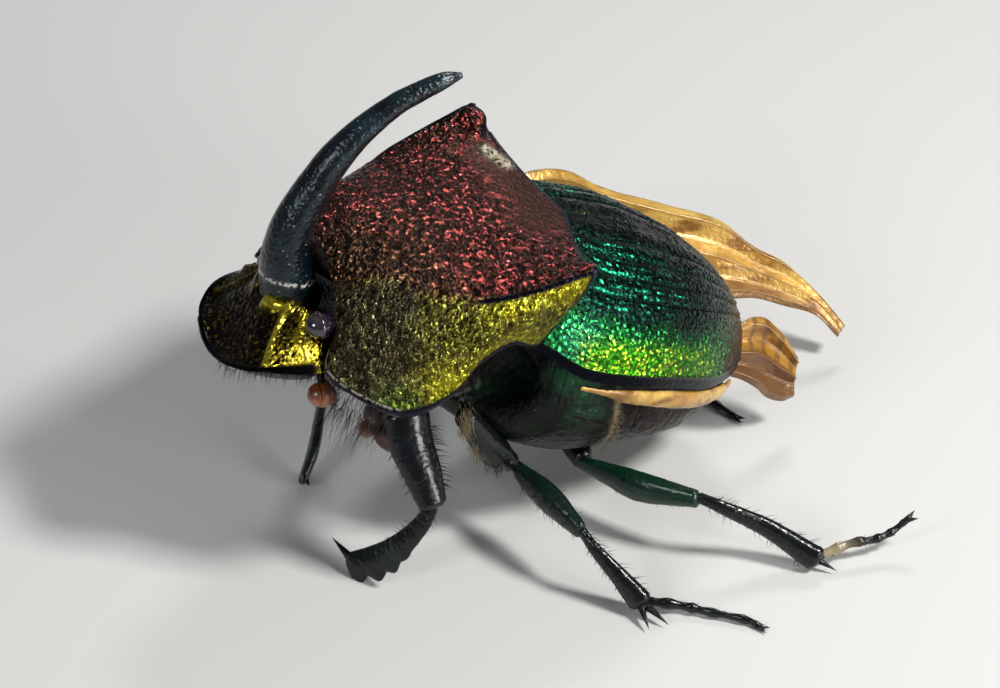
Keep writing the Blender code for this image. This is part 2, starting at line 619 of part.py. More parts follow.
def tibia_teeth(path, widths, name, nodes):
    """Digging teeth down the outer edge of a front shin, and the spur at its end."""
    stations = 81
    centres = smooth(path, stations)
    sizes = smooth([[width] for width in widths], stations)[:, 0] / 2
    mirror = np.array((math.copysign(1, path[0][0]), 1, 1))
    pieces = []
    for i in range(TOOTH_COUNT):
        at = int((FIRST_TOOTH + i * TOOTH_SPACING) * (stations - 1))
        at = min(at, stations - 2)
        step = centres[at + 1] - centres[at]
        step = step / np.linalg.norm(step)
        outward = np.array(TOOTH_LEAN) * mirror
        outward = outward - step * np.dot(outward, step)
        outward = outward / np.linalg.norm(outward)
        length = TOOTH_LENGTH * (0.55 + 0.15 * i)
        tip = centres[at] + outward * (sizes[at] + length) + step * 0.25
        pieces.append(spike(name, centres[at], tip, TOOTH_RADIUS, nodes))
    step = centres[-1] - centres[-2]
    step = step / np.linalg.norm(step)
    tip = centres[-1] + step * 0.45 + np.array(FRONT_SPUR_LEAN) * mirror * SPUR_LENGTH
    pieces.append(spike(name, centres[-1], tip, SPUR_RADIUS, nodes))
    return pieces


def tibia_spurs(path, name, nodes):
    """The two end spurs of a middle or hind shin, laid down to the floor."""
    end = np.array(path[-1])
    step = end - np.array(path[-2])
    step[2] = 0
    step = step / np.linalg.norm(step)
    across = np.array((step[1], -step[0], 0))
    pieces = []
    for lean in REAR_SPUR_LEANS:
        tip = end + (step + across * lean) * SPUR_LENGTH * 1.1
        tip[2] = 0.05
        pieces.append(spike(name, end, tip, SPUR_RADIUS, nodes))
    return pieces


def build_tarsus(name, path, nodes):
    """A jointed foot of five small segments and a claw tip."""
    rows = TARSUS_JOINTS * 3 + 1
    centres = smooth(path, rows)
    widths = []
    for i in range(rows):
        taper = 1.0 - 0.35 * i / (rows - 1)
        swell = 1.0 if i % 3 == 2 else 0.78
        widths.append(TARSUS_WIDTH * taper * swell * 1.15)
    return limb(name, centres, widths, (0, 0, 1), nodes, thinness=1.0, sides=8, rows=rows)


def build_leg(leg, nodes):
    """Coxa, thigh, shin and foot of one leg, each its own node."""
    pair = leg.split("_")[0]
    paths = LEG_PATHS[leg]
    built = []
    built.append(limb(leg + "_coxa", paths["coxa"], COXA_WIDTHS[pair], (1, 0, 0.01), nodes, rows=5,
                      thinness=0.9))
    built.append(limb(leg + "_femur", paths["femur"], FEMUR_WIDTHS[pair], FEMUR_FLAT[pair], nodes))
    if pair == "front":
        x, y, z = TOOTH_LEAN
        lean = (math.copysign(x, paths["tibia"][0][0]), y, z)
        shin = limb(leg + "_tibia", paths["tibia"], TIBIA_WIDTHS[pair], lean, nodes,
                    thinness=DIGGER_THINNESS)
        pieces = tibia_teeth(paths["tibia"], TIBIA_WIDTHS[pair], leg + "_tooth", nodes)
    else:
        shin = limb(leg + "_tibia", paths["tibia"], TIBIA_WIDTHS[pair], (0, 0, 1), nodes)
        pieces = tibia_spurs(paths["tibia"], leg + "_spur", nodes)
    built.append(fuse(leg + "_tibia", shin, pieces, nodes))
    if "tarsus" in paths:
        built.append(build_tarsus(leg + "_tarsus", paths["tarsus"], nodes))
    for item in built[2:]:
        cut_at_floor(item)
    return built


def set_finish(item):
    """Give a node its own material."""
    colour, roughness, metallic = FINISHES[item.name.split("_")[0]]
    material = bpy.data.materials.new(item.name)
    material.use_nodes = True
    shader = material.node_tree.nodes["Principled BSDF"]
    shader.inputs["Base Color"].default_value = (*colour, 1.0)
    shader.inputs["Roughness"].default_value = roughness
    shader.inputs["Metallic"].default_value = metallic
    item.data.materials.clear()
    item.data.materials.append(material)
    item.data.shade_smooth()
    item.data.set_sharp_from_angle(angle=math.radians(SHARP_DEGREES))


def new_empty(name, collection):
    """An empty that carries other objects."""
    item = bpy.data.objects.new(name, None)
    collection.objects.link(item)
    return item


def centre_on_floor(root, nodes):
    """Move the whole beetle so that its box stands centred over the origin."""
    depsgraph = bpy.context.evaluated_depsgraph_get()
    corners = []
    for item in nodes.objects:
        if item.type != "MESH":
            continue
        solid = item.evaluated_get(depsgraph)
        corners += [solid.matrix_world @ vert.co for vert in solid.data.vertices]
    low = Vector([min(corner[axis] for corner in corners) for axis in range(3)])
    high = Vector([max(corner[axis] for corner in corners) for axis in range(3)])
    root.location = (-(low.x + high.x) / 2, -(low.y + high.y) / 2, -low.z)


def main():
    clear_scene()
    nodes = bpy.data.collections.new("rainbow_scarab")
    bpy.context.scene.collection.children.link(nodes)
    root = new_empty("root", nodes)
    body = new_empty("body_pose", nodes)
    body.parent = root
    pitch = Matrix.Rotation(-math.radians(NOSE_UP_DEGREES), 4, "X")
    body.matrix_local = Matrix.Translation((0, 0, BACK_HEIGHT * MM)) @ pitch

    on_body = [build_head(nodes), build_horn(nodes), build_mouthparts(nodes), build_pronotum(nodes)]
    for side, word in ((1, "left"), (-1, "right")):
        centre = (side * EYE_CENTRE[0], EYE_CENTRE[1], EYE_CENTRE[2])
        on_body.append(ellipsoid("eye_" + word, centre, EYE_RADII, nodes))
        on_body.append(build_antenna(side, nodes))
        on_body.append(build_elytron(side, nodes))
    on_body.append(build_thorax(nodes))
    on_body.append(build_trunk("abdomen", ABDOMEN_SECTIONS, 10, nodes))
    on_body.append(ellipsoid("pygidium", PYGIDIUM_CENTRE, PYGIDIUM_RADII, nodes))
    on_body.append(build_hindwing("hindwing_right", RIGHT_WING, nodes))
    on_body.append(build_hindwing("hindwing_left", LEFT_WING, nodes))
    body_names = [item.name for item in on_body]
    on_floor = [item for leg in LEG_PATHS for item in build_leg(leg, nodes)]
    built = {item.name: item for item in on_body + on_floor}

    into_body = body.matrix_local.inverted()
    hind_coxae = ["hind_left_coxa", "hind_right_coxa"]
    make_room(built, "thorax", ["mid_left_coxa", "mid_right_coxa"] + hind_coxae, into_body, nodes)
    make_room(built, "pronotum", ["antenna_left", "antenna_right", "eye_left", "eye_right", "head"],
              Matrix(), nodes)
    make_room(built, "abdomen", hind_coxae, into_body, nodes)
    for name, item in built.items():
        item.parent = body if name in body_names else root
        set_finish(item)
    centre_on_floor(root, nodes)


main()
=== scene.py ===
from functools import cached_property
import math

import bpy
import numpy as np
from mathutils import Matrix, Vector, noise


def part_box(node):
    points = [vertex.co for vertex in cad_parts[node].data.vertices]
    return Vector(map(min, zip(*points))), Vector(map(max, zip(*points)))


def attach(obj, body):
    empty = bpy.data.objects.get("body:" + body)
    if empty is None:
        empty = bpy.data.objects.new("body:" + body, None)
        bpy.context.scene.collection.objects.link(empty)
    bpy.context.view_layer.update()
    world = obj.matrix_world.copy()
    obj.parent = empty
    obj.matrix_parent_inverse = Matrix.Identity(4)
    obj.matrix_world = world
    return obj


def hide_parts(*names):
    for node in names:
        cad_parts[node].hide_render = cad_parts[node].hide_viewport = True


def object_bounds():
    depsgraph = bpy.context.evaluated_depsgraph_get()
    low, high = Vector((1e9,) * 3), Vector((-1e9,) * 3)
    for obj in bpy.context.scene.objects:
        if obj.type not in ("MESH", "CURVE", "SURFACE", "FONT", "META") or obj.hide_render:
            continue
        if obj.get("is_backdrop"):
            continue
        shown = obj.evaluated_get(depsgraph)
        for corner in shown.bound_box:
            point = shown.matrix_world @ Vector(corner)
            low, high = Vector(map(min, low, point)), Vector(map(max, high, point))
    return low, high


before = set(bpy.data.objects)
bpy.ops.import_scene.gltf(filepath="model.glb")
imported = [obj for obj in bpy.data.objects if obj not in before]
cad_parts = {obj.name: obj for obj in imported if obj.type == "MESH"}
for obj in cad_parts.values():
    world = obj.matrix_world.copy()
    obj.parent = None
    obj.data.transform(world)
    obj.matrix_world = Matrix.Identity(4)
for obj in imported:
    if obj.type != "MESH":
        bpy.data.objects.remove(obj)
cad_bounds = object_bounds()

# Millimetres in one of two frames: the floor frame stands on the floor, and the body frame starts
# at the middle of the pronotum's hind margin, nose up: x to the left, y to the rear, z up.
MM = 0.001
NOSE_UP = math.radians(13.4)
BACK_HEIGHT = 10.5
CAD_LEFT_EYE = (2.66, -9.55, -2.8)
EYES = {"left": (2.62, -9.42, -2.66), "right": (-2.2, -9.3, -3.3)}
EYE_RADIUS = 0.46
EYE_RADII = (EYE_RADIUS, 1.08 * EYE_RADIUS, 0.95 * EYE_RADIUS)
MERGE_DISTANCE = 1e-7
CAP_SHARE = 0.04

# Camera: a macro lens close above the beetle's left front
CAMERA_TARGET = (1.62, -3.02, 6.85)
CAMERA_BACK = (0.7526, -0.3026, 0.585)
CAMERA_DISTANCE = 130.0
CAMERA_VIEW_WIDTH = 33.9
CAMERA_SENSOR = 36.0

# Pronotum from front to rear: middle (y, z), disc edge (x, y, z), side margin (x, y, z),
# and the level (y, z) at which its underside closes
PRONOTUM_MIDDLE = [(-8.75, -1.1), (-8.3, -0.75), (-7.5, -0.45), (-6.3, -0.2), (-5.1, -0.08),
                   (-3.9, 0.0), (-2.6, 0.05), (-1.2, 0.08), (0.0, 0.0)]
PRONOTUM_EDGE = [(2.0, -8.9, -1.6), (2.5, -8.2, -1.0), (2.95, -7.35, -0.65), (3.85, -6.25, -0.66),
                 (4.6, -5.2, -0.6), (5.0, -4.2, -0.25), (5.28, -3.1, 0.25), (5.38, -2.2, 0.7),
                 (5.4, -1.48, 0.97)]
PRONOTUM_MARGIN = [(3.05, -9.02, -3.05), (3.6, -9.28, -3.88), (4.6, -8.4, -4.27), (5.3, -7.0, -4.45),
                   (5.5, -5.6, -3.6), (5.48, -4.85, -2.3), (5.3, -3.8, -1.75), (5.05, -2.75, -2.05),
                   (4.87, -2.1, -1.1)]
PRONOTUM_UNDER = [(-8.0, -4.6), (-7.8, -5.0), (-7.3, -5.2), (-6.5, -5.2), (-5.6, -4.4),
                  (-4.6, -3.2), (-3.5, -2.5), (-2.3, -2.4), (-1.2, -1.6)]
DISC_SHARE = 0.56
DISC_FALL = 2.2
FLANK_BULGE = 0.3
TOP_SHARE = 0.84
# Knobs at the rear corners: place, radius and how sharply they stand out
CORNER_KNOBS = [((5.12, -1.55, 0.76), 0.34, 5.0), ((-5.0, -1.6, 0.68), 0.44, 3.0)]

# Wing cases: the seam (y, z) and the outer rim (x, y, z), shoulder to apex
ELYTRON_SEAM = [(-0.4, -0.12), (0.35, -0.02), (1.2, -0.18), (2.4, -0.42), (3.6, -0.85),
                (5.2, -1.55), (6.9, -2.9), (7.85, -4.75)]
ELYTRON_RIM = [(4.6, -2.35, -2.55), (4.75, -1.7, -2.95), (5.05, -0.5, -3.55), (5.1, 1.3, -3.85),
               (4.7, 3.0, -4.2), (3.6, 5.3, -5.0), (1.8, 7.3, -5.5), (0.6, 7.85, -5.45)]
ELYTRON_SQUARENESS = 2.35
STRIA_COUNT = 7
SEAM_GAP = 0.01
ELYTRON_TOP_SHARE = 0.86
ELYTRON_CAP_SHARE = 0.02
ELYTRON_INSIDE = (0.6, 2.0, -3.6)
ELYTRON_THICKNESS = 0.13

# Head: its margin (x, y, z) from the rear corner of the cheek to the front middle, and its nape
HEAD_CENTRE = (0.0, -9.7, 0.0)
HEAD_MARGIN = [(3.28, -9.3, -4.06), (3.3, -9.8, -4.13), (3.1, -10.5, -4.22), (2.78, -11.06, -4.36),
               (2.3, -11.5, -4.58), (1.65, -11.79, -4.83), (0.83, -11.94, -5.06), (0.0, -11.98, -5.16)]
HEAD_NAPE = [(0.0, -8.5, -4.2), (1.5, -8.5, -4.15), (2.45, -8.7, -4.05), (3.0, -9.0, -4.02)]
HEAD_CROWN = -2.6
HEAD_THROAT = -5.45
HEAD_TOP_SHARE = 0.72
HEAD_FRONT_RISE = [[1.0], [1.0], [0.97], [0.9], [0.72], [0.53], [0.38], [0.24], [0.12], [0.05], [0.0]]
HEAD_REAR_RISE = [[1.0], [1.0], [1.0], [0.94], [0.82], [0.73], [0.68], [0.64], [0.56], [0.3], [0.0]]
# Suture, bar and brow ridge seen from above on the left (x, y), each with its half-width
HEAD_RIDGES = [([(1.2, -10.05), (1.6, -10.4), (2.05, -10.72), (2.55, -11.0)], 0.1),
               ([(0.45, -10.45), (0.85, -10.28), (1.2, -9.92)], 0.13),
               ([(1.35, -9.1), (1.6, -9.5), (2.05, -9.8), (2.5, -9.98), (3.0, -9.8)], 0.12)]

# Horn: middle line (y, z) and width across, from the brow to the tip
HORN_LINE = [(-9.4, -3.2), (-9.6, -2.65), (-9.82, -1.95), (-9.93, -1.3), (-9.9, -0.5), (-9.68, 0.3),
             (-9.34, 1.16), (-8.9, 2.12), (-8.17, 3.16), (-7.2, 4.12), (-6.42, 4.63), (-5.67, 5.04),
             (-5.1, 5.24)]
HORN_WIDTHS = [2.2, 2.05, 1.86, 1.66, 1.5, 1.4, 1.28, 1.15, 0.95, 0.78, 0.7, 0.58, 0.24]

# Trunk: its swollen front corners, the shelf that the wing cases' rims rest on, the breast
SWELLING_CENTRE = (3.7, -3.75, -4.1)
SWELLING_RADII = (1.58, 2.1, 1.98)
SHELF_LIP = 0.15
SHELF_RISE = 0.35
BREAST_CENTRE = (0.0, -6.4, -5.0)
BREAST_RADII = (2.9, 2.1, 1.5)
# Its sections: y at the top, y at the bottom, top z, half-width under the wing cases,
# shelf z, half-width below the shelf, bottom z
THORAX_SECTIONS = [(-1.6, -4.6, -1.5, 3.0, -3.0, 3.4, -6.3), (-0.3, -3.75, -1.4, 3.3, -3.2, 3.9, -6.9),
                   (0.05, -2.4, -1.25, 3.85, -3.8, 4.45, -7.6), (0.75, -0.4, -1.3, 4.05, -4.2, 4.75, -8.1),
                   (1.45, 1.6, -1.45, 4.0, -4.4, 4.55, -8.15)]
ABDOMEN_SECTIONS = [(1.5, 1.7, -1.55, 3.8, -4.7, 4.05, -8.1), (3.2, 3.2, -1.9, 3.7, -5.1, 3.8, -8.2),
                    (4.6, 4.6, -2.7, 2.9, -5.6, 3.3, -8.0), (5.9, 5.9, -3.9, 1.9, -6.0, 2.5, -7.6),
                    (7.0, 7.0, -5.4, 1.0, -6.2, 1.5, -7.0)]
# Seams between its plates on the left, each with its half-width
THORAX_SEAMS = [([(5.1, -3.3, -2.6), (4.95, -3.0, -4.4), (4.3, -2.6, -6.0), (3.6, -2.2, -7.3)], 0.09),
                ([(5.0, -3.0, -4.4), (4.75, -1.2, -5.0), (4.6, 0.6, -5.6), (4.5, 1.5, -5.9)], 0.07)]

# Hind wings: pairs of edge points (leading edge, trailing edge) from root to tip
RIGHT_WING = [
    ((-5.6, 0.5, -2.9), (-5.1, 0.7, -4.3)), ((-5.8, 1.35, -1.95), (-5.45, 2.0, -4.75)),
    ((-6.1, 3.1, -2.0), (-5.1, 3.4, -4.95)), ((-6.1, 4.9, -2.75), (-4.6, 4.9, -5.3)),
    ((-5.6, 7.2, -3.15), (-3.7, 6.6, -5.6)), ((-5.0, 9.2, -3.45), (-2.9, 8.7, -5.5)),
    ((-4.3, 10.6, -4.2), (-2.8, 10.3, -5.5)), ((-3.7, 11.8, -4.6), (-2.5, 11.6, -5.7)),
    ((-3.0, 12.9, -5.4), (-2.1, 12.6, -5.85)), ((-2.1, 13.95, -6.3), (-1.7, 13.5, -6.55)),
]
LEFT_WING = [
    ((0.6, 6.6, -4.2), (1.3, 6.6, -5.9)), ((0.55, 7.6, -4.45), (1.6, 7.6, -6.0)),
    ((0.35, 8.3, -4.25), (1.75, 8.4, -6.35)), ((0.4, 8.9, -4.3), (1.6, 9.0, -6.85)),
    ((0.75, 9.5, -4.75), (1.5, 9.75, -7.1)), ((1.1, 10.15, -5.5), (1.4, 10.25, -7.0)),
]
WING_STRIP = [(4.9, -0.5, -3.95), (5.0, 0.4, -4.1), (4.95, 1.3, -4.3), (4.6, 3.0, -4.7),
              (4.1, 4.2, -5.1), (3.4, 5.3, -5.5), (2.55, 6.4, -5.85), (1.9, 7.1, -5.95)]
WING_STRIP_WIDTHS = [0.14, 0.24, 0.52, 0.64, 0.66, 0.62, 0.5, 0.3]
WING_STRIP_THINNESS = 0.5
WING_PLEATS = 2.5
WING_PLEAT_HEIGHT = 0.2
WING_FOLD_SHARPNESS = 0.97
WING_VEINS = (0.1, 0.3, 0.5, 0.7, 0.9)
WING_FULL_SPREAD = 3.2
WING_THICKNESS = 0.09

# Legs in the floor frame: (x, y, height); the right hips mirror the left ones
LEG_PATHS = {
    "front_left": {
        "coxa": [(1.2, -7.3, 4.9), (2.3, -7.2, 4.75), (3.3, -6.95, 5.1)],
        "femur": [(3.35, -7.1, 6.2), (3.8, -7.1, 5.35), (4.4, -6.95, 4.5), (4.98, -6.82, 3.6)],
        "tibia": [(5.02, -6.85, 3.45), (4.95, -7.2, 2.75), (4.6, -7.8, 1.8), (4.05, -8.4, 0.98),
                  (3.3, -9.15, 0.4)],
    },
    "front_right": {
        "femur": [(-3.2, -6.9, 6.2), (-3.6, -6.85, 5.4), (-4.2, -6.8, 4.6), (-4.68, -6.9, 3.8)],
        "tibia": [(-4.6, -6.95, 3.6), (-4.15, -7.25, 2.95), (-3.3, -7.85, 2.0), (-2.35, -8.5, 1.05),
                  (-1.75, -9.1, 0.4)],
    },
    "mid_left": {
        "coxa": [(3.35, -4.95, 5.5), (3.2, -3.9, 3.7), (3.3, -3.35, 3.1)],
        "femur": [(3.4, -3.15, 2.95), (4.2, -2.95, 2.78), (5.3, -2.65, 2.7), (6.8, -2.22, 2.42)],
        "tibia": [(6.95, -2.18, 2.42), (7.5, -1.95, 2.0), (8.1, -1.5, 1.4), (8.9, -0.9, 0.55)],
        "tarsus": [(8.95, -0.6, 0.45), (9.5, 0.5, 0.3), (9.95, 1.13, 0.22), (10.77, 2.15, 0.2),
                   (11.2, 2.5, 0.12)],
    },
    "mid_right": {
        "femur": [(-3.4, -3.15, 2.95), (-4.1, -2.85, 2.78), (-5.2, -2.5, 2.7), (-6.6, -2.0, 2.42)],
        "tibia": [(-6.75, -1.9, 2.4), (-7.2, -1.5, 1.95), (-7.7, -0.95, 1.4), (-8.3, 0.0, 0.55)],
        "tarsus": [(-8.35, 0.3, 0.45), (-8.9, 1.5, 0.28), (-9.3, 2.3, 0.22), (-9.7, 3.1, 0.2),
                   (-9.9, 3.5, 0.12)],
    },
    "hind_left": {
        "coxa": [(0.8, -0.4, 2.15), (1.9, -0.35, 2.1), (2.75, -0.4, 2.0)],
        "femur": [(2.85, -0.5, 1.95), (4.0, 0.1, 2.05), (5.2, 0.75, 2.2), (6.75, 2.05, 2.45)],
        "tibia": [(6.85, 2.2, 2.5), (7.35, 2.9, 2.2), (7.95, 4.25, 1.4), (9.0, 5.55, 0.5)],
        "tarsus": [(9.0, 5.9, 0.55), (9.05, 6.9, 0.75), (9.15, 7.8, 0.75), (9.16, 8.4, 0.9),
                   (9.15, 9.04, 1.3)],
    },
    "hind_right": {
        "femur": [(-2.85, -0.45, 1.95), (-3.6, 0.1, 2.05), (-4.2, 0.8, 2.15), (-4.95, 1.95, 2.35)],
        "tibia": [(-4.98, 2.15, 2.4), (-4.85, 2.75, 2.0), (-4.2, 3.55, 1.3), (-3.1, 4.5, 0.5)],
        "tarsus": [(-2.85, 4.7, 0.45), (-1.9, 5.4, 0.27), (-1.2, 5.85, 0.22), (-0.5, 6.3, 0.2),
                   (0.35, 6.65, 0.13)],
    },
}
COXA_WIDTHS = {"front": [1.2, 1.3, 1.0], "mid": [0.9, 1.25, 0.85], "hind": [1.1, 1.1, 0.8]}
FEMUR_WIDTHS = {"front": [1.6, 1.55, 1.35, 1.05], "mid": [0.55, 0.95, 1.15, 0.7],
                "hind": [0.5, 0.9, 1.15, 0.7]}
TIBIA_WIDTHS = {"front": [0.55, 0.66, 0.85, 1.0, 0.8], "mid": [0.42, 0.5, 0.68, 0.98],
                "hind": [0.42, 0.52, 0.72, 1.0]}
FEMUR_FLAT = {"front": (0, 1, 0), "mid": (0, 0, 1), "hind": (0, 0, 1)}
LIMB_THINNESS = 0.72
DIGGER_THINNESS = 0.42
# The feet are strings of small joints: every third ring is a full width, narrower toward the claw
TARSUS_WIDTHS = [0.46 * (1 - 0.4 * i / 15) * (1.0 if i % 3 == 2 else 0.76) for i in range(16)]
# Shares of green and brown in the finish
LEG_TINTS = {("front", "coxa"): (0, 0.9), ("mid", "femur"): (0.4, 0), ("hind", "femur"): (0.9, 0)}
TOOTH_LEAN = (0.75, 0.1, -0.65)
TOOTH_PLACES = (0.52, 0.66, 0.8, 0.95)
TOOTH_REACH = (0.1, 0.2, 0.27, 0.3)
TOOTH_WIDTH = 0.055

# Spurs and claws: the leg, its part, where along it they stand, and each one's lean in the floor frame
SPURS = [
    ("front_left", "tibia", 0.97, [(-1.05, -0.45, 0.5), (-0.95, -0.15, 0.12)]),
    ("front_right", "tibia", 0.97, [(0.95, -0.35, 0.45), (0.8, -0.1, 0.12)]),
    ("mid_left", "tibia", 0.98, [(1.2, -0.1, -0.42), (1.25, 0.62, -0.42)]),
    ("mid_right", "tibia", 0.98, [(-1.15, 0.1, -0.42), (-1.0, 0.75, -0.42)]),
    ("hind_left", "tibia", 0.98, [(0.65, 0.7, -0.4), (-0.1, 1.0, -0.35)]),
    ("hind_right", "tibia", 0.98, [(0.9, 0.3, -0.42), (0.35, 0.95, -0.42)]),
    ("mid_left", "tarsus", 0.97, [(0.42, 0.1, -0.06), (0.25, 0.35, -0.03)]),
    ("mid_right", "tarsus", 0.97, [(-0.35, 0.2, -0.06), (-0.1, 0.4, -0.03)]),
    ("hind_left", "tarsus", 0.97, [(0.2, 0.35, 0.1), (-0.15, 0.38, 0.22)]),
    ("hind_right", "tarsus", 0.97, [(0.42, 0.1, -0.06), (0.25, 0.35, -0.03)]),
]

# Bristles on a leg part: where round it (share of a turn), along it from and to, how many, how long
BRISTLE_ROWS = {
    ("front", "coxa"): [(0.75, 0.2, 0.9, 26, 0.6)],
    ("front", "femur"): [(0.25, 0.12, 0.95, 46, 0.62), (0.75, 0.3, 0.95, 22, 0.3),
                         (0.5, 0.1, 0.9, 16, 0.3)],
    ("front", "tibia"): [(0.75, 0.1, 0.6, 12, 0.28), (0.3, 0.1, 0.5, 8, 0.25)],
    ("mid", "coxa"): [(0.1, 0.2, 0.9, 30, 0.35), (0.9, 0.2, 0.9, 26, 0.4)],
    ("mid", "femur"): [(0.75, 0.1, 0.95, 34, 0.4), (0.0, 0.1, 0.95, 20, 0.28), (0.3, 0.3, 0.95, 14, 0.28)],
    ("mid", "tibia"): [(0.25, 0.1, 0.95, 26, 0.5), (0.75, 0.15, 0.95, 22, 0.36), (0.0, 0.2, 0.95, 18, 0.3)],
    ("mid", "tarsus"): [(0.75, 0.1, 0.95, 14, 0.16), (0.2, 0.1, 0.95, 14, 0.16)],
    ("hind", "femur"): [(0.75, 0.2, 0.95, 14, 0.25)],
    ("hind", "tibia"): [(0.25, 0.1, 0.95, 26, 0.42), (0.75, 0.1, 0.95, 26, 0.36),
                        (0.0, 0.2, 0.95, 16, 0.28)],
    ("hind", "tarsus"): [(0.75, 0.1, 0.95, 14, 0.18), (0.2, 0.1, 0.95, 14, 0.16)],
}

# Coats of hair, by the left rows: path, hairs left and right, spread, lean, length left and right
HEAD_FRINGE = [(x * 0.97, y + 0.1, z - 0.08) for x, y, z in HEAD_MARGIN[:7]]
HAIR_ROWS = {
    "head_fringe": [(HEAD_FRINGE, (120, 70), 0.03, (0.05, -0.15, -0.9), (0.4, 0.3))],
    "beard": [([(3.2, -8.9, -4.3), (4.0, -8.7, -4.35), (4.7, -8.0, -4.5), (5.0, -7.3, -4.6)],
               (90, 70), 0.06, (-0.1, -0.35, -1.0), (0.75, 0.7)),
              ([(2.0, -8.2, -5.8), (2.6, -7.8, -6.0), (2.9, -7.2, -6.1), (3.1, -6.4, -6.1)],
               (150, 90), 0.16, (0.25, -0.45, -0.85), (1.1, 1.0))],
    "golden_tufts": [([(4.9, -4.6, -4.6), (4.55, -4.3, -5.4), (4.0, -4.0, -6.2)],
                      (190, 190), 0.12, (0.5, 0.3, -0.8), (0.26, 0.26)),
                     ([(3.7, -3.4, -6.9), (3.6, -2.9, -7.4)],
                      (70, 70), 0.12, (0.4, 0.1, -0.9), (0.28, 0.28)),
                     ([(4.5, 1.35, -4.9), (4.45, 1.45, -6.0), (4.1, 1.4, -7.0)],
                      (120, 120), 0.06, (0.6, 0.7, -0.3), (0.2, 0.2))],
}
BRISTLE_WIDTH = 0.035
HAIR_WIDTH = 0.024
HAIR_SIDES = 3
HAIR_RINGS = (0.0, 0.35, 0.7)
SPUR_SIDES = 10
HAIR_TILES = 5
HAIR_PATCH = 0.003

# Antenna club and stalk, and the small orange feeler tip that hangs before the front hip
CLUB_CENTRE = (3.0, -8.96, -5.14)
CLUB_RADII = (0.44, 0.5, 0.43)
CLUB_GROOVES = (-0.3, 0.34)
CLUB_STALK = [(2.6, -9.0, -4.5), (2.8, -9.0, -4.75), (2.95, -8.98, -5.0)]
FEELER_BALL = (2.5, -6.75, -6.93)
FEELER_RADII = (0.31, 0.31, 0.31)
FEELER_BEAD = (2.62, -6.7, -6.5)
BEAD_RADII = (0.13, 0.13, 0.17)
# Tubes under the head: name, path, widths, and the CAD node that one of them stands for
MOUTH_TUBES = [
    ("mouth_parts", [(-1.0, -9.3, -5.55), (0, -9.75, -5.5), (1.0, -9.3, -5.55)], [0.5, 0.6, 0.5],
     "mouthparts"),
    ("feeler_stalk", [(2.2, -6.3, -6.6), (2.35, -6.6, -6.85), FEELER_BALL], [0.4, 0.3, 0.2]),
]

# Lamps over a plain floor: name, place, size, power and colour
LAMPS = [("key_lamp", (66, 69, 121), 26, 0.28, (1.0, 0.975, 0.94)),
         ("side_lamp", (118, 68, 36), 46, 0.12, (1.0, 0.98, 0.95)),
         ("back_lamp", (-90, 60, 120), 30, 0.07, (1, 1, 1)),
         ("front_lamp", (60, -120, 90), 36, 0.06, (0.95, 0.98, 1.0))]
LAMP_AIM = (0, 0, 5)
FLOOR_SIZE = 1200


def model_frames():
    """The matrices that carry floor-frame and body-frame metres into the model."""
    low, high = (Vector(corner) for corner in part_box("eye_left"))
    pitch = Matrix.Rotation(-NOSE_UP, 4, "X")
    pose = Matrix.Translation((0, 0, BACK_HEIGHT * MM)) @ pitch
    floor = Matrix.Translation((low + high) / 2 - pose @ (Vector(CAD_LEFT_EYE) * MM))
    return floor, floor @ pose


def mirrored(path):
    """A left path, on the right."""
    return [(-x, y, z) for x, y, z in path]


FLOOR, BODY = model_frames()
for pair in ("front", "mid", "hind"):
    LEG_PATHS[pair + "_right"]["coxa"] = mirrored(LEG_PATHS[pair + "_left"]["coxa"])


def calm():
    """Leave edit mode and select nothing."""
    if bpy.context.object and bpy.context.object.mode != "OBJECT":
        bpy.ops.object.mode_set(mode="OBJECT")
    bpy.ops.object.select_all(action="DESELECT")


def points_of(piece):
    """The piece's points as rows of x, y, z."""
    flat = np.empty(len(piece.data.vertices) * 3)
    piece.data.vertices.foreach_get("co", flat)
    return flat.reshape(-1, 3)


def set_points(piece, points):
    """Move every point of a piece."""
    piece.data.vertices.foreach_set("co", np.asarray(points).ravel())
    piece.data.update()


def carry(points, carrier):
    """Millimetres in the floor or body frame, as metres in the model."""
    turn = np.array(carrier.to_3x3())
    return np.asarray(points) * MM @ turn.T + np.array(carrier.translation)


def uncarry(points, carrier):
    """Metres in the model, back as millimetres in the floor or body frame."""
    return carry(np.asarray(points) / MM, carrier.inverted()) / MM


def clip(values):
    """Values kept from 0 to 1."""
    return np.clip(values, 0, 1)


def directions(rows):
    """Rows as directions of length 1."""
    return rows / (np.linalg.norm(rows, axis=1)[:, None] + 1e-9)


def curve(table, t):
    """Points on the smooth curve through a table's rows, for t from 0 to 1."""
    table = np.asarray(table, float)
    padded = np.concatenate([[2 * table[0] - table[1]], table, [2 * table[-1] - table[-2]]])
    station = clip(t) * (len(table) - 1)
    row = np.minimum(station.astype(int), len(table) - 2)
    part = (station - row)[:, None]
    before, start, end, after = (padded[row + i] for i in range(4))
    bend = 2 * before - 5 * start + 4 * end - after
    twist = 3 * start - before - 3 * end + after
    return 0.5 * (2 * start + (end - before) * part + bend * part ** 2 + twist * part ** 3)


def heading(path, along, reach=0.01):
    """The direction in which a curve runs at each place along it."""
    return directions(curve(path, along + reach) - curve(path, along - reach))


def bell(distance, width):
    """A soft bump of height 1 at distance 0."""
    return np.exp(-(distance / width) ** 2)


def step(value, start, end):
    """A smooth rise from 0 at start to 1 at end."""
    t = clip((value - start) / (end - start))
    return t * t * (3 - 2 * t)


def grain(points, size, seed=0.0):
    """Smooth noise from about -1 to 1; size is one lump, the same or along x, y, z."""
    scaled = np.asarray(points) / np.asarray(size, float) + seed
    return np.array([noise.noise(point) for point in scaled])


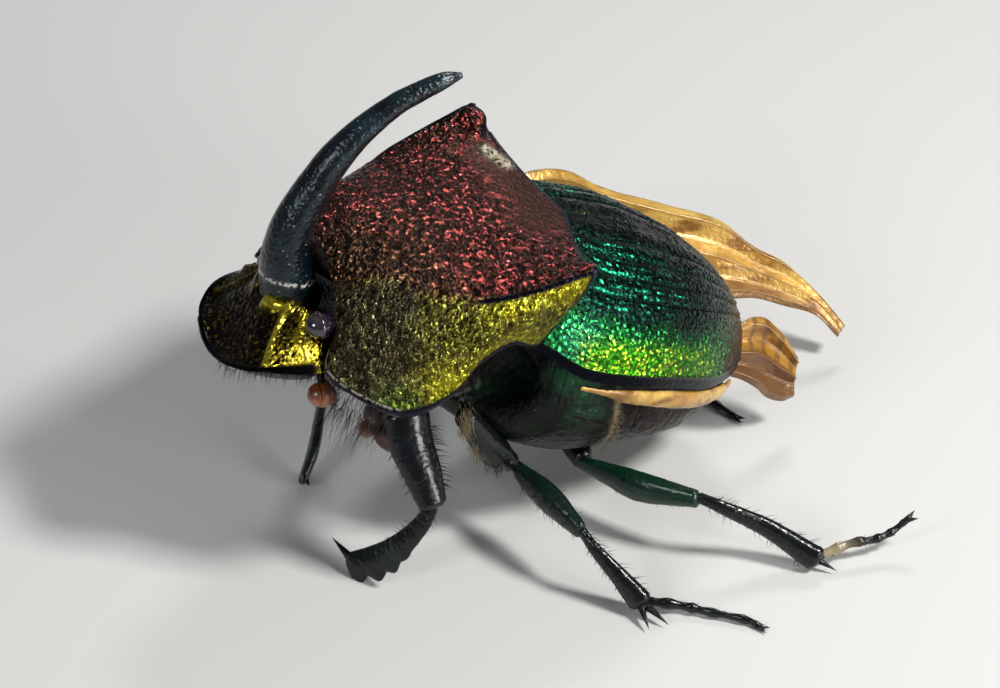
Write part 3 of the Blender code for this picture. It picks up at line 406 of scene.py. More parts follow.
def cells(points, size, seed=0.0):
    """Rounded grains packed side by side: 1 at a grain's middle, 0 at its edge."""
    scaled = np.asarray(points) / np.asarray(size, float) + seed
    nearest = np.array([noise.voronoi(point)[0][:2] for point in scaled])
    return clip(nearest[:, 1] - nearest[:, 0])


def near(spots, centre, width):
    """A soft bump around a point."""
    return bell(np.linalg.norm(spots - np.array(centre), axis=1), width)


def near_path(spots, path, width):
    """A soft ridge along a path of points."""
    nearest = 1e9
    for start, end in zip(path, path[1:]):
        run = np.subtract(end, start)
        t = clip((spots - start) @ run / (run @ run))[:, None]
        nearest = np.minimum(nearest, np.linalg.norm(spots - start - run * t, axis=1))
    return bell(nearest, width)


def stored(piece, name):
    """The values that paint() stored on a piece's points."""
    values = np.empty(len(piece.data.vertices))
    piece.data.attributes[name].data.foreach_get("value", values)
    return values


def paint(piece, **layers):
    """Store a value for every point under a name that the finish reads."""
    for name, values in layers.items():
        layer = piece.data.attributes.get(name) or piece.data.attributes.new(name, "FLOAT", "POINT")
        layer.data.foreach_set("value", values + np.zeros(len(piece.data.vertices)))


def close_shell(piece):
    """Merge doubled points and turn all faces outward."""
    calm()
    piece.select_set(True)
    bpy.context.view_layer.objects.active = piece
    bpy.ops.object.mode_set(mode="EDIT")
    bpy.ops.mesh.select_all(action="SELECT")
    bpy.ops.mesh.remove_doubles(threshold=MERGE_DISTANCE)
    bpy.ops.mesh.normals_make_consistent(inside=False)
    bpy.ops.object.mode_set(mode="OBJECT")


def linked(name, data):
    """A new object in the scene."""
    thing = bpy.data.objects.new(name, data)
    bpy.context.scene.collection.objects.link(thing)
    return thing


def laid_grid(name, columns, rows, place, carrier):
    """A grid laid where place(u, v) says and closed, its u and v stored; and its points in mm."""
    calm()
    bpy.ops.mesh.primitive_grid_add(x_subdivisions=columns, y_subdivisions=rows, size=2)
    piece = bpy.context.object
    piece.name = piece.data.name = name
    u, v = (points_of(piece)[:, :2].T + 1) / 2
    set_points(piece, carry(place(u, v), carrier))
    paint(piece, u=u, v=v)
    close_shell(piece)
    return piece, uncarry(points_of(piece), carrier)


def ball(name, centre, radii):
    """A smooth egg shape in the body frame; and its points in mm."""
    calm()
    bpy.ops.mesh.primitive_uv_sphere_add(segments=64, ring_count=40, radius=MM)
    piece = bpy.context.object
    piece.name = piece.data.name = name
    piece.data.transform(BODY @ Matrix.Translation(Vector(centre) * MM) @ Matrix.Diagonal((*radii, 1)))
    return piece, uncarry(points_of(piece), BODY)


def capped(ring, first_hub, last_hub, share=CAP_SHARE):
    """A place function whose first and last rows draw together at two hubs."""
    def place(u, v):
        reach = 1 - (1 - clip(np.minimum(v, 1 - v) / share)[:, None]) ** 2
        hub = np.where((v < 0.5)[:, None], first_hub, last_hub)
        return hub + (ring(u, between_caps(v, share)) - hub) * reach
    return place


def between_caps(v, share=CAP_SHARE):
    """How far along a capped piece a row lies, from 0 to 1, without its ends."""
    return clip((v - share) / (1 - 2 * share))


def push_out(points, centre, radii, softness):
    """Push points out of an egg shape, with a soft foot around it."""
    away = (points - np.array(centre)) / radii
    distance = np.linalg.norm(away, axis=1)[:, None] + 1e-9
    return centre + away / distance * (distance ** softness + 1) ** (1 / softness) * radii


def lift(piece, amount):
    """Raise each point along its normal, in millimetres."""
    normals = np.empty(len(piece.data.vertices) * 3)
    piece.data.vertices.foreach_get("normal", normals)
    raised = points_of(piece) + normals.reshape(-1, 3) * np.asarray(amount)[:, None] * MM
    set_points(piece, raised)


class Value:
    """A shader output; sums and mixes on it add nodes to its finish."""

    def __init__(self, finish, socket):
        self.finish = finish
        self.socket = socket

    def combine(self, operation, first, second):
        """One sum on two values."""
        return self.finish.node("Math", {0: first, 1: second}, operation=operation)

    def __add__(self, other):
        return self.combine("ADD", self, other)

    def __mul__(self, other):
        return self.combine("MULTIPLY", self, other)

    def __sub__(self, other):
        return self.combine("SUBTRACT", self, other)

    def __rsub__(self, other):
        return self.combine("SUBTRACT", other, self)

    def most(self, other):
        """The larger of two values."""
        return self.combine("MAXIMUM", self, other)

    def ramp(self, low, high):
        """Stretched smoothly so that low gives 0 and high gives 1."""
        inputs = {"Value": self, "From Min": low, "From Max": high}
        return self.finish.node("MapRange", inputs, interpolation_type="SMOOTHSTEP")

    def mix(self, first, second):
        """The first colour where this is 0, the second where it is 1."""
        return self.finish.node("Mix", {0: self, 6: first, 7: second}, 2, data_type="RGBA")


class Finish:
    """A material with one Principled shader, and the nodes that its look is made of."""

    def __init__(self, name, metallic, roughness, coat=0.0, coat_roughness=0.1, specular=0.5):
        self.material = bpy.data.materials.new(name)
        self.material.use_nodes = True
        self.tree = self.material.node_tree
        self.set(metallic, "Metallic")
        self.set(roughness, "Roughness")
        self.set(coat, "Coat Weight")
        self.set(coat_roughness, "Coat Roughness")
        self.set(specular, "Specular IOR Level")

    def set(self, value, name, node="Principled BSDF"):
        """Set an input, or link it; a colour has three channels."""
        socket = self.tree.nodes[node].inputs[name]
        if isinstance(value, Value):
            self.tree.links.new(value.socket, socket)
        else:
            socket.default_value = (*value, 1) if socket.type == "RGBA" else value

    def node(self, kind, inputs, output=0, **settings):
        """One output of a new shader node."""
        node = self.tree.nodes.new("ShaderNode" + kind)
        for key, value in settings.items():
            setattr(node, key, value)
        for key, value in inputs.items():
            self.set(value, key, node.name)
        return Value(self, node.outputs[output])

    def layer(self, name):
        """The value that paint() stored on the piece's points."""
        return self.node("Attribute", {}, "Fac", attribute_name=name)

    @cached_property
    def place(self):
        """Millimetres in the body frame, from object coordinates."""
        inputs = {"Vector": self.node("TexCoord", {}, "Object"), "Location": BODY.translation,
                  "Rotation": (-NOSE_UP, 0, 0), "Scale": (MM, MM, MM)}
        return self.node("Mapping", inputs, vector_type="TEXTURE")

    def noise(self, scale, detail=3.0, stretch=(1, 1, 1)):
        """Smooth noise of about scale lumps a millimetre."""
        stretched = self.node("Mapping", {"Vector": self.place, "Scale": stretch})
        return self.node("TexNoise", {"Vector": stretched, "Scale": scale, "Detail": detail}, "Fac")

    def wrinkles(self, scale, stretch=(1, 1, 1)):
        """Worm-like ridges, 1 on top and 0 in the pits between them."""
        wave = self.noise(scale, 2.0, stretch) - 0.5
        return (wave.combine("ABSOLUTE", wave, 0.0) * 6.0).ramp(1.0, 0.0)

    def cells(self, scale):
        """Distance to the nearest grain middle, scale grains a millimetre."""
        return self.node("TexVoronoi", {"Vector": self.place, "Scale": scale}, "Distance")

    def tint(self, colour, **goals):
        """A colour mixed toward each goal where the painted layer of that name says so."""
        for layer, goal in goals.items():
            colour = self.layer(layer).mix(colour, goal)
        return colour

    def finished(self, colour, height, depth, **inputs):
        """The material with its colour, a bump of a depth in millimetres, and other inputs."""
        bump = self.node("Bump", {"Height": height, "Strength": 1.0, "Distance": depth * MM})
        for name, value in {"Base Color": colour, "Normal": bump, **inputs}.items():
            self.set(value, name)
        return self.material


def dress(piece, material, slot, *nodes):
    """Give a piece its finish and body, and hide the CAD nodes it stands for; slot is not used."""
    piece.data.materials.clear()
    piece.data.materials.append(material)
    piece.data.shade_smooth()
    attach(piece, "root")
    if nodes:
        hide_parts(*nodes)


def pronotum_finish():
    """Brown disc with painted copper-red glints; olive to gold sides, partly painted reflection; black rims.
    """
    look = Finish("copper_and_gold_chitin", 1.0, 0.25, specular=0.2)
    specks = look.noise(3.8)
    # Painted highlights: the bright ends of the copper-red and bronze mixes are glints on tiny facets
    glints = specks.ramp(0.5, 0.66)
    disc = look.tint(glints.mix((0.08, 0.028, 0.02), (0.9, 0.17, 0.16)),
                     bronze=glints.mix((0.06, 0.032, 0.018), (0.26, 0.14, 0.075)),
                     smooth=(0.05, 0.018, 0.011))
    # Flank: the darker olive front and the gold rear are partly its own colours and partly painted
    # reflection; the pale specks and bright grain middles are painted glints
    olive = look.noise(1.1).ramp(0.3, 0.7).mix((0.028, 0.027, 0.014), (0.07, 0.066, 0.028))
    olive = specks.ramp(0.58, 0.74).mix(olive, (0.3, 0.29, 0.12))
    gold = look.cells(4.2).ramp(0.5, 0.12).mix((0.36, 0.32, 0.015), (0.95, 1.0, 0.1))
    side = look.tint(olive, gold=gold, lime=(0.25, 0.42, 0.04))
    # Painted shade: hollows between the wrinkles and grains, and the front cap behind the horn, are darkened
    colour = look.tint(disc, flank=side, pit=(0.025, 0.014, 0.01))
    wrinkles = look.layer("flank").mix(look.wrinkles(2.9), look.wrinkles(4.0, (1, 1, 0.5)))
    # Painted shade in the wrinkle hollows, lighter on the gold flank
    wrinkle_shade = wrinkles.ramp(0.5, 0.0) * look.layer("rough") * (0.8 - look.layer("gold") * 0.4)
    colour = look.tint(wrinkle_shade.mix(colour, (0.02, 0.012, 0.009)), rim=(0.012, 0.01, 0.02))
    dust = look.layer("dust") * look.noise(9.0).ramp(0.38, 0.5)
    matt = dust.most(look.layer("smooth") * 0.3)
    roughness = look.node("MapRange", {"Value": matt, "To Min": 0.23, "To Max": 0.75})
    return look.finished(dust.mix(colour, (0.33, 0.31, 0.23)),
                         wrinkles * look.layer("rough") + look.noise(7.0), 0.055,
                         Metallic=1.0 - matt, Roughness=roughness)


def pronotum_top(across, along):
    """A point over the shield: across runs from -1, right margin, to 1, left margin."""
    reach = np.abs(across)[:, None]
    middle = np.insert(curve(PRONOTUM_MIDDLE, along), 0, 0.0, axis=1)
    edge = curve(PRONOTUM_EDGE, along)
    down = clip((reach - DISC_SHARE) / (1 - DISC_SHARE))
    disc = middle + (edge - middle) * clip(reach / DISC_SHARE) ** (1, 1, DISC_FALL)
    bulge = np.sin(math.pi * down) * (FLANK_BULGE, 0, 0)
    flank = edge + (curve(PRONOTUM_MARGIN, along) - edge) * down + bulge
    point = np.where(reach < DISC_SHARE, disc, flank)
    point[:, 0] *= np.where(across < 0, -1, 1)
    return point


def soft_pronotum_top(across, along):
    """The shield with its crease rounded, more in front than at the rear corners."""
    softness = (0.09 - 0.075 * step(along, 0.3, 0.62)) * clip((1 - np.abs(across)) / 0.12)
    offsets = np.linspace(-1, 1, 9)
    tops = [pronotum_top(across + offset * softness, along) for offset in offsets]
    return np.average(tops, axis=0, weights=bell(offsets, 0.6))


def pronotum_ring(u, along):
    """The closed shield: over the top from left to right, then back underneath."""
    top = soft_pronotum_top(1 - 2 * clip(u / TOP_SHARE), along)
    turn = clip((u - TOP_SHARE) / (1 - TOP_SHARE)) * math.pi
    under = curve(PRONOTUM_MARGIN, along)
    under[:, 0] *= -np.cos(turn)
    under[:, 1:] += (curve(PRONOTUM_UNDER, along) - under[:, 1:]) * np.sin(turn)[:, None] ** 0.7
    return np.where((u < TOP_SHARE)[:, None], top, under)


def build_pronotum():
    """The shield behind the head, with wrinkles, grains, rims and corner knobs."""
    closed = capped(pronotum_ring, (0, -7.8, -2.8), (0, -1.6, -1.0))

    def place(u, v):
        points = closed(u, v)
        for knob in CORNER_KNOBS:
            points = push_out(points, *knob)
        return points
    piece, spots = laid_grid("pronotum_shield", 430, 200, place, BODY)
    u, v = stored(piece, "u"), stored(piece, "v")
    along = between_caps(v)
    reach = np.abs(1 - 2 * clip(u / TOP_SHARE))
    x, y, z = spots.T
    over = step(TOP_SHARE - u, -0.002, 0.004) * step(u, -0.004, 0.002) * step(1 - v, 0.03, 0.04)
    on_top = over * step(v, 0.014, 0.024)
    wavy = grain(spots, 1.3, 5.0)
    fringed = reach + 0.03 * wavy

    smooth = step(y + 0.5 * wavy, -2.9, -1.5) * step(-x + 0.6 * wavy, -2.4, -0.6) * step(z, -0.6, 0)
    smooth *= 1 - near(spots, (-4.9, -1.7, 0.6), 1.0)
    flank = step(fringed, DISC_SHARE - 0.03, DISC_SHARE + 0.03)
    # Gold flank, partly its own colour and partly painted reflection: brightest along the lower margin and
    # under the carina, mostly none toward the front
    bright_reflection = np.maximum(step(fringed, 0.74, 0.97), bell(reach - 0.62, 0.09) * step(y, -5.4, -4.2))
    gold = (0.3 + 0.7 * bright_reflection) * step(y + 0.9 * wavy, -7.2, -5.5)
    gold = np.maximum(gold, 0.75 * near(spots, (2.3, -7.95, -0.8), 0.35))
    carina = bell(reach - DISC_SHARE, 0.017) * step(along, 0.44, 0.6)
    margin = step(reach, 0.972, 0.985)
    hind = step(along, 0.972, 0.99)
    rim = clip(1.4 * carina + margin + hind + (1 - over))

    wrinkles = 1 - 3.2 * np.abs(grain(spots, (0.3, 0.16, 0.3), 1.0))
    grains = 1.6 * cells(spots, (0.25, 0.19, 0.24), 2.0) - 0.3
    grainy = clip(step(-x, -1.0, 2.5) * (1 - flank) + flank * step(y, -6.4, -5.0))
    height = np.clip(wrinkles + (grains - wrinkles) * grainy, -0.4, 1)
    rough = 1 - clip(0.8 * smooth + rim)
    clump = clip(1.5 * near_path(spots, [(-3.5, -1.55, 0.4), (-2.75, -1.15, 0.3)], 0.24))
    front_bead = bell(reach - 0.985, 0.0035) * step(-z, 2.95, 3.2) * step(-y, 6.9, 7.4) * on_top
    lift(piece, on_top * (0.035 * height * rough + 0.07 * carina + 0.05 * margin + 0.04 * hind
                          + clump * (0.06 + 0.16 * grain(spots, 0.17, 6.0))))
    # Painted shade: the hollows between the wrinkles and grains are darkened, less on the gold flank, and so
    # is the front cap behind the horn
    pit = step(-height, -0.25, 0.2) * rough * (0.75 - 0.45 * gold * flank)
    paint(piece, flank=flank, gold=gold, rim=rim, smooth=smooth, rough=rough,
          bronze=step(-y + wavy, 4.2, 7.2) * step(x + wavy, -1.8, 1.6),
          lime=0.6 * near(spots, (5.25, -7.2, -4.3), 0.6), dust=clip(clump + front_bead),
          pit=np.maximum(pit, 0.85 - 0.85 * step(v, 0.014, 0.03)))
    dress(piece, pronotum_finish(), "pronotum", "pronotum")


def elytron_finish():
    """Green chitin: black-green above, bright green to gold-green below, partly painted reflection; black
    rim.
    """
    look = Finish("green_chitin", 1.0, 0.22)
    # Painted glints: the bright grain middles in the green, lime and brown; painted highlight on the
    # shoulder; painted shade in the pits and furrows
    glints = look.cells(5.6).ramp(0.55, 0.15)
    colour = look.tint((0.004, 0.012, 0.01), row=(0.03, 0.75, 0.38),
                       green=glints.mix((0.002, 0.12, 0.015), (0.08, 1.0, 0.2)),
                       teal=(0.15, 0.8, 0.55), lime=glints.mix((0.06, 0.4, 0.005), (0.9, 1.0, 0.03)),
                       brown=glints.mix((0.07, 0.045, 0.02), (0.38, 0.26, 0.1)),
                       pit=(0.003, 0.012, 0.008), rim=(0.005, 0.006, 0.009))
    return look.finished(colour, look.noise(9.0) - look.cells(5.5) * look.layer("rough"), 0.045)


def elytron_top(turn, along):
    """A point on the left wing case between the seam, turn 0, and the rim, turn 1."""
    seam = np.insert(curve(ELYTRON_SEAM, along), 0, SEAM_GAP, axis=1)
    power = 2 / ELYTRON_SQUARENESS
    out, down = np.sin(turn * math.pi / 2), clip(np.cos(turn * math.pi / 2))
    share = np.stack([out ** power, out ** 2, 1 - down ** power], axis=1)
    return seam + (curve(ELYTRON_RIM, along) - seam) * share


def elytron_ring(u, along):
    """The closed wing case: over the top, then back close under it."""
    turn = clip(np.minimum(u / ELYTRON_TOP_SHARE, (1 - u) / (1 - ELYTRON_TOP_SHARE)))
    point = elytron_top(turn, along)
    under = (u > ELYTRON_TOP_SHARE) * np.sin(turn * math.pi) ** 0.5
    return point + (np.array(ELYTRON_INSIDE) - point) * (ELYTRON_THICKNESS * under)[:, None]


def build_elytron(side, word, material):
    """One wing case: seven fine furrows, grains and painted threads of glints between them, a black rim."""
    place = capped(elytron_ring, (2.4, -0.3, -1.9), (0.5, 7.5, -5.1), ELYTRON_CAP_SHARE)
    piece, spots = laid_grid("wing_case_" + word, 330, 220, place, BODY @ Matrix.Diagonal((side, 1, 1, 1)))
    u, along = stored(piece, "u"), between_caps(stored(piece, "v"), ELYTRON_CAP_SHARE)
    turn = clip(u / ELYTRON_TOP_SHARE)
    on_top = step(ELYTRON_TOP_SHARE - u, -0.002, 0.004)
    y, z = spots[:, 1], spots[:, 2]
    wavy = grain(spots, 1.2, 3.0)
    plain = 1 - step(turn, 0.925, 0.94)
    stria = turn * (STRIA_COUNT + 1)
    off_stria = np.abs(stria - np.round(stria))
    fade = 1 - step(turn, 0.4, 0.66)
    furrow = bell(off_stria, 0.075) * (np.round(stria) > 0) * plain * step(along, 0.0, 0.06) * fade
    # Painted glints: threads of bright dots between the furrows, fading toward the rear and down the side
    thread = bell(0.5 - np.abs(3 * stria - np.round(3 * stria)), 0.2) * bell(0.5 - off_stria, 0.42)
    row = thread * step(grain(spots, (0.25, 0.2, 0.25), 12.0), -0.25, 0.1) * step(turn, 0.12, 0.2)
    grains = np.clip(1.7 * cells(spots, (0.2, 0.17, 0.2), 4.0) - 0.35, -0.4, 1) * plain
    lift(piece, on_top * (0.03 * grains * (1 - furrow) - 0.08 * furrow
                          + 0.03 * np.cos((stria + 0.5) * 2 * math.pi) * plain * fade
                          + 0.05 * bell(turn - 0.935, 0.012) + 0.03 * bell(turn, 0.02)))
    # Painted reflection, partly the case's own colour: green lower down and lime-gold along the side; a
    # painted highlight on the shoulder; painted shade in the pits and furrows
    lime = step(turn + 0.03 * wavy, 0.7, 0.82) * (1 - step(y, 4.4, 6.0)) * step(y, -1.4, -0.4)
    paint(piece, green=step(0.3 * wavy - z - 0.25 * y, 1.2, 2.3), lime=0.85 * lime,
          teal=0.3 * near(spots, (4.75, -0.9, -2.3), 0.7),
          row=row * (1 - 0.75 * step(y, 1.5, 4.5)) * fade,
          brown=step(y + 0.4 * wavy - 0.35 * z, 6.9, 7.9) * plain,
          rim=clip(2 - plain - on_top), rough=plain * on_top,
          pit=clip(step(-grains, -0.24, 0.1) * 0.75 + 1.3 * furrow) * plain)
    dress(piece, material, "elytra", "elytron_" + word)


def limb_place(path, widths, across, thinness, crest=np.zeros_like):
    """A place function for a tapering tube of oval section with rounded ends."""
    def place(u, v):
        along = between_caps(v)
        ahead = heading(path, along)
        side = directions(np.cross(ahead, across))
        size = curve([[width] for width in widths], along)[:, 0] / 2
        cap = clip(1 - np.minimum(v, 1 - v) / CAP_SHARE)
        round_end = np.sqrt(1 - cap ** 2)
        angle = u * 2 * math.pi
        edge = crest(along) * clip(np.sin(angle)) ** 4 * round_end
        offsets = [(ahead, np.where(v < 0.5, -0.5, 0.5) * cap * size),
                   (side, size * round_end * thinness * np.cos(angle)),
                   (np.cross(side, ahead), size * round_end * np.sin(angle) + edge)]
        return curve(path, along) + sum(way * amount[:, None] for way, amount in offsets)
    return place


def horn_finish():
    """Blue-black semi-gloss with fine pits, pale specks and dust round the foot."""
    look = Finish("blue_black_horn", 0.45, 0.25, coat=0.25, coat_roughness=0.2)
    fine = look.noise(8.0)
    colour = look.noise(0.9).ramp(0.35, 0.65).mix((0.003, 0.005, 0.009), (0.006, 0.02, 0.026))
    dust = look.layer("dust") * fine.ramp(0.42, 0.52)
    colour = dust.most(look.cells(3.0).ramp(0.13, 0.05) * 0.5).mix(colour, (0.5, 0.49, 0.44))
    return look.finished(colour, fine + look.cells(7.0), 0.025, Metallic=0.45 - dust)


def build_horn():
    """The long horn: a swept tube with fine scattered pits and a dusty foot."""
    path = [(0.0, y, z) for y, z in HORN_LINE]
    place = limb_place(path, HORN_WIDTHS, (1, 0, 0), 0.95)
    piece, spots = laid_grid("horn_shaft", 90, 260, place, BODY)
    pits = step(1 - cells(spots, 0.16, 7.0), 0.82, 0.95) * step(grain(spots, 0.5, 2.0), -0.1, 0.4)
    lift(piece, 0.007 * grain(spots, (0.3, 0.5, 0.5), 4.0) - 0.012 * pits)
    foot = spots[:, 2] + 2.26 - 0.07 * spots[:, 0] + 0.06 * grain(spots, 0.3, 9.0)
    paint(piece, dust=bell(foot, 0.07))
    dress(piece, horn_finish(), "horn", "horn")


def head_place(u, v):
    """The head shield from its crown, v 0, over the margin to the throat, v 1."""
    left = np.array(HEAD_NAPE + HEAD_MARGIN)
    margin = curve(np.vstack([left, (left[1:-1] * (-1, 1, 1))[::-1], left[:1]]), u)
    top = v < HEAD_TOP_SHARE
    reach = np.minimum(v / HEAD_TOP_SHARE, (1 - v) / (1 - HEAD_TOP_SHARE))
    front_rise, rear_rise = (curve(rises, reach)[:, 0] for rises in (HEAD_FRONT_RISE, HEAD_REAR_RISE))
    rise = front_rise + (rear_rise - front_rise) * clip((margin[:, 1] + 11.2) / 1.6)
    goal = np.where(top, HEAD_CROWN, HEAD_THROAT)
    point = HEAD_CENTRE + (margin - HEAD_CENTRE) * reach[:, None]
    point[:, 2] = margin[:, 2] + (goal - margin[:, 2]) * np.where(top, rise, 1 - reach ** 3)
    point[:, 2] -= 0.25 * step(-point[:, 0], 1.2, 2.6) * top
    return point


def head_finish():
    """Dark bronze clypeus, gold rugged cheeks and ridges, black smooth rim, painted shade in the hollows."""
    look = Finish("bronze_and_gold_chitin", 1.0, 0.25)
    specks = look.noise(7.0)
    colour = look.tint(specks.ramp(0.52, 0.72).mix((0.014, 0.01, 0.007), (0.26, 0.19, 0.035)),
                       gold=specks.ramp(0.34, 0.6).mix((0.55, 0.37, 0.015), (1.0, 0.84, 0.08)),
                       pit=(0.02, 0.014, 0.006), rim=(0.008, 0.007, 0.01))
    return look.finished(colour, (look.noise(9.0) + look.cells(5.0)) * look.layer("rough"), 0.05)


def round_socket(points, centre, radius):
    """Press points that lie inside the eye's ball down around it."""
    away = points - np.array(centre)
    inside = np.linalg.norm(away, axis=1)[:, None] < radius
    return np.where(inside, centre + directions(away) * radius, points)


def build_head():
    """Clypeus, cheeks and brow in one shield, with raised sutures and eye sockets."""
    piece, spots = laid_grid("head_shield", 300, 220, head_place, BODY)
    reach = clip(stored(piece, "v") / HEAD_TOP_SHARE)
    top = reach < 1
    x, y, z = spots.T
    width = np.abs(x)
    plan = np.stack([width, y], axis=1)
    ridges = clip(sum(near_path(plan, path, size) for path, size in HEAD_RIDGES))
    cheek = step(width * 0.78 + y * 0.62, -5.05, -4.85) * step(width, 0.6, 1.1)
    rim = clip(step(reach, 0.91, 0.95) * top * step(-y, 9.25, 9.6) + ~top)
    bare = (1 - ridges) * (1 - rim)
    height = np.clip(1 - 3.4 * np.abs(grain(spots, (0.18, 0.13, 0.18), 8.0)), -0.5, 1) * cheek * bare
    plain = (1 - cheek) * (1 - rim) * step(reach, 0.35, 0.6)
    lift(piece, top * (0.035 * height + 0.13 * ridges * (1 - rim) + 0.06 * step(reach, 0.91, 0.96)
                       + 0.02 * (cells(spots, 0.2, 3.0) - 0.5) * plain))
    network = cheek * step(-z + 0.72 * (y + 9.85), 3.2, 3.45)
    nape = 0.5 * step(y, -9.7, -9.2) * step(grain(spots, 0.22, 3.0), -0.15, 0.3)
    gold = clip(network + 0.22 * cheek + nape + ridges * step(width, 0.2, 0.5))
    # Painted shade: the gold fades out on the right side of the head, and the cheek hollows are darkened
    paint(piece, gold=gold * (1 - 0.9 * step(-x, -0.4, 0.3)), rim=rim,
          rough=(1 - rim) * (1 - 0.7 * ridges) * step(reach, 0.3, 0.6),
          pit=step(-height, -0.2, 0.15) * cheek * bare)
    points = uncarry(points_of(piece), BODY)
    for centre in EYES.values():
        points = round_socket(points, centre, EYE_RADIUS + 0.02)
    set_points(piece, carry(points, BODY))
    dress(piece, head_finish(), "head", "head")


def eye_finish():
    """Dark purple, clear and glossy."""
    look = Finish("eye", 0.0, 0.08, coat=1.0, coat_roughness=0.03)
    facets = look.cells(16.0)
    purple = facets.ramp(0.2, 0.7).mix((0.016, 0.005, 0.022), (0.004, 0.002, 0.007))
    purple = look.noise(1.2).ramp(0.55, 0.75).mix(purple, (0.03, 0.026, 0.03))
    return look.finished(look.tint(purple, bar=(0.02, 0.016, 0.012)), facets, 0.006)


def build_eye(word, material):
    """A ball, a little longer than wide, with the thin bar of the cheek across it."""
    piece, spots = ball("eyeball_" + word, EYES[word], EYE_RADII)
    away = spots - EYES[word]
    bar = bell(away[:, 1] + 0.25 * away[:, 2] - 0.02, 0.05)
    lift(piece, 0.035 * bar)
    paint(piece, bar=bar)
    dress(piece, material, "eye", "eye_" + word)


def trunk_ring(sections):
    """A ring function over trunk sections: arched top, shelf at the rims, rounded belly."""
    def ring(u, along):
        top_y, bottom_y, top, upper, shelf, lower, bottom = curve(sections, along).T
        turn = 4 * np.minimum(u, 1 - u)
        over = clip(turn) * math.pi / 2
        dip = SHELF_LIP + (math.pi / 2 - SHELF_LIP) * clip(turn - 1)
        x_over = upper * np.sin(over) ** 0.85
        z_over = shelf + SHELF_RISE + (top - shelf - SHELF_RISE) * clip(np.cos(over)) ** 0.85
        x_below = lower * clip(np.cos(dip)) ** 0.7
        z_below = shelf + (bottom - shelf) * np.sin(dip) ** 0.8
        x = np.where(turn > 1, x_below, x_over) * np.where(u < 0.5, 1, -1)
        z = np.where(turn > 1, z_below, z_over)
        y = top_y + (bottom_y - top_y) * clip((top - z) / (top - bottom))
        return np.stack([x, y, z], axis=1)
    return ring


def dark_finish(name, hue, glint):
    """Black-green chitin, pitted, with a soft gloss and pale dust in its seams."""
    look = Finish(name, 0.6, 0.38, coat=0.1, coat_roughness=0.25, specular=0.2)
    colour = look.tint(look.noise(0.8).ramp(0.4, 0.65).mix(hue, glint), shade=(0.006, 0.005, 0.004))
    pale = look.layer("pale").most(look.cells(2.6).ramp(0.09, 0.03) * 0.4)
    return look.finished(pale.mix(colour, (0.3, 0.24, 0.13)), look.noise(6.0) + look.cells(4.0), 0.03)


def build_thorax(material):
    """The middle body under the wing cases, with swollen front corners and seams between plates."""
    place = capped(trunk_ring(THORAX_SECTIONS), (0, -2.6, -4.5), (0, 1.6, -5.0))
    piece, points = laid_grid("thorax_plates", 280, 180, place, BODY)
    for side in (1, -1):
        points = push_out(points, np.array(SWELLING_CENTRE) * (side, 1, 1), SWELLING_RADII, 6)
    set_points(piece, carry(points, BODY))
    plan = np.abs(points) * (1, 0, 0) + points * (0, 1, 1)
    seams = clip(sum(near_path(plan, path, width) for path, width in THORAX_SEAMS))
    v = stored(piece, "v")
    inside = step(np.minimum(v, 1 - v), 0.03, 0.06)
    pits = step(1 - cells(points, (0.3, 0.26, 0.26), 6.0), 0.7, 0.95)
    lift(piece, inside * (0.008 * grain(points, 0.3, 3.0) - 0.1 * seams - 0.015 * pits * (1 - seams)))
    y, z = points[:, 1], points[:, 2]
    paint(piece, pale=bell(y + 0.15 * (z + 6) - 1.45, 0.12) * step(z, -7.9, -7.4) * step(-z, 4.2, 4.6),
          shade=clip(0.8 * seams + 0.8 * step(-z, 4.8, 5.8) + 1 - inside))
    dress(piece, material, "underside", "thorax")


def build_trunk():
    """Middle body, belly with overlapping plates, tail plate, and breast between the front hips."""
    green = dark_finish("black_green_chitin", (0.004, 0.007, 0.005), (0.008, 0.045, 0.02))
    build_thorax(green)
    black = dark_finish("belly_chitin", (0.005, 0.004, 0.004), (0.018, 0.011, 0.009))
    place = capped(trunk_ring(ABDOMEN_SECTIONS), (0, 1.9, -5.0), (0, 6.9, -6.0))
    piece, spots = laid_grid("abdomen_plates", 200, 200, place, BODY)
    plate = np.mod((spots[:, 1] + 0.25 * np.abs(spots[:, 0])) / 1.15, 1)
    seam = bell(plate - 0.02, 0.04)
    lift(piece, 0.09 * (plate - 0.5) - 0.06 * seam + 0.02 * grain(spots, 0.3, 3.0))
    paint(piece, pale=0.3 * seam, shade=0)
    dress(piece, black, "underside", "abdomen")
    piece = ball("pygidium_plate", (0, 7.1, -6.4), (1.5, 0.3, 0.9))[0]
    paint(piece, pale=0, shade=0)
    dress(piece, green, "underside", "pygidium")
    piece, spots = ball("breast_plate", BREAST_CENTRE, BREAST_RADII)
    lift(piece, 0.05 * grain(spots, 0.4, 4.0))
    paint(piece, pale=0, shade=1)
    dress(piece, black, "underside")


def leg_finish():
    """Glossy black with a green cast, fine pits and specks of dust; the front hips are red-brown."""
    look = Finish("black_leg", 0.1, 0.26, coat=0.2, coat_roughness=0.12, specular=0.3)
    colour = look.noise(0.7).ramp(0.5, 0.7).mix((0.003, 0.0035, 0.005), (0.004, 0.01, 0.008))
    colour = look.tint(colour, green=(0.004, 0.026, 0.014), brown=(0.07, 0.014, 0.006))
    pale = look.layer("pale").most(look.cells(3.0).ramp(0.08, 0.03) * 0.45)
    return look.finished(pale.mix(colour, (0.32, 0.27, 0.17)), look.cells(5.0) + look.noise(6.0), 0.012)


def keep_above_floor(piece):
    """Flatten what would reach below the floor."""
    points = points_of(piece)
    points[:, 2] = np.maximum(points[:, 2], 0)
    set_points(piece, points)


def tooth_crest(along):
    """How far the digging teeth stand out of the front shin's outer edge."""
    teeth = [reach * bell(along - place, TOOTH_WIDTH) for place, reach in zip(TOOTH_PLACES, TOOTH_REACH)]
    return np.max(teeth, axis=0)


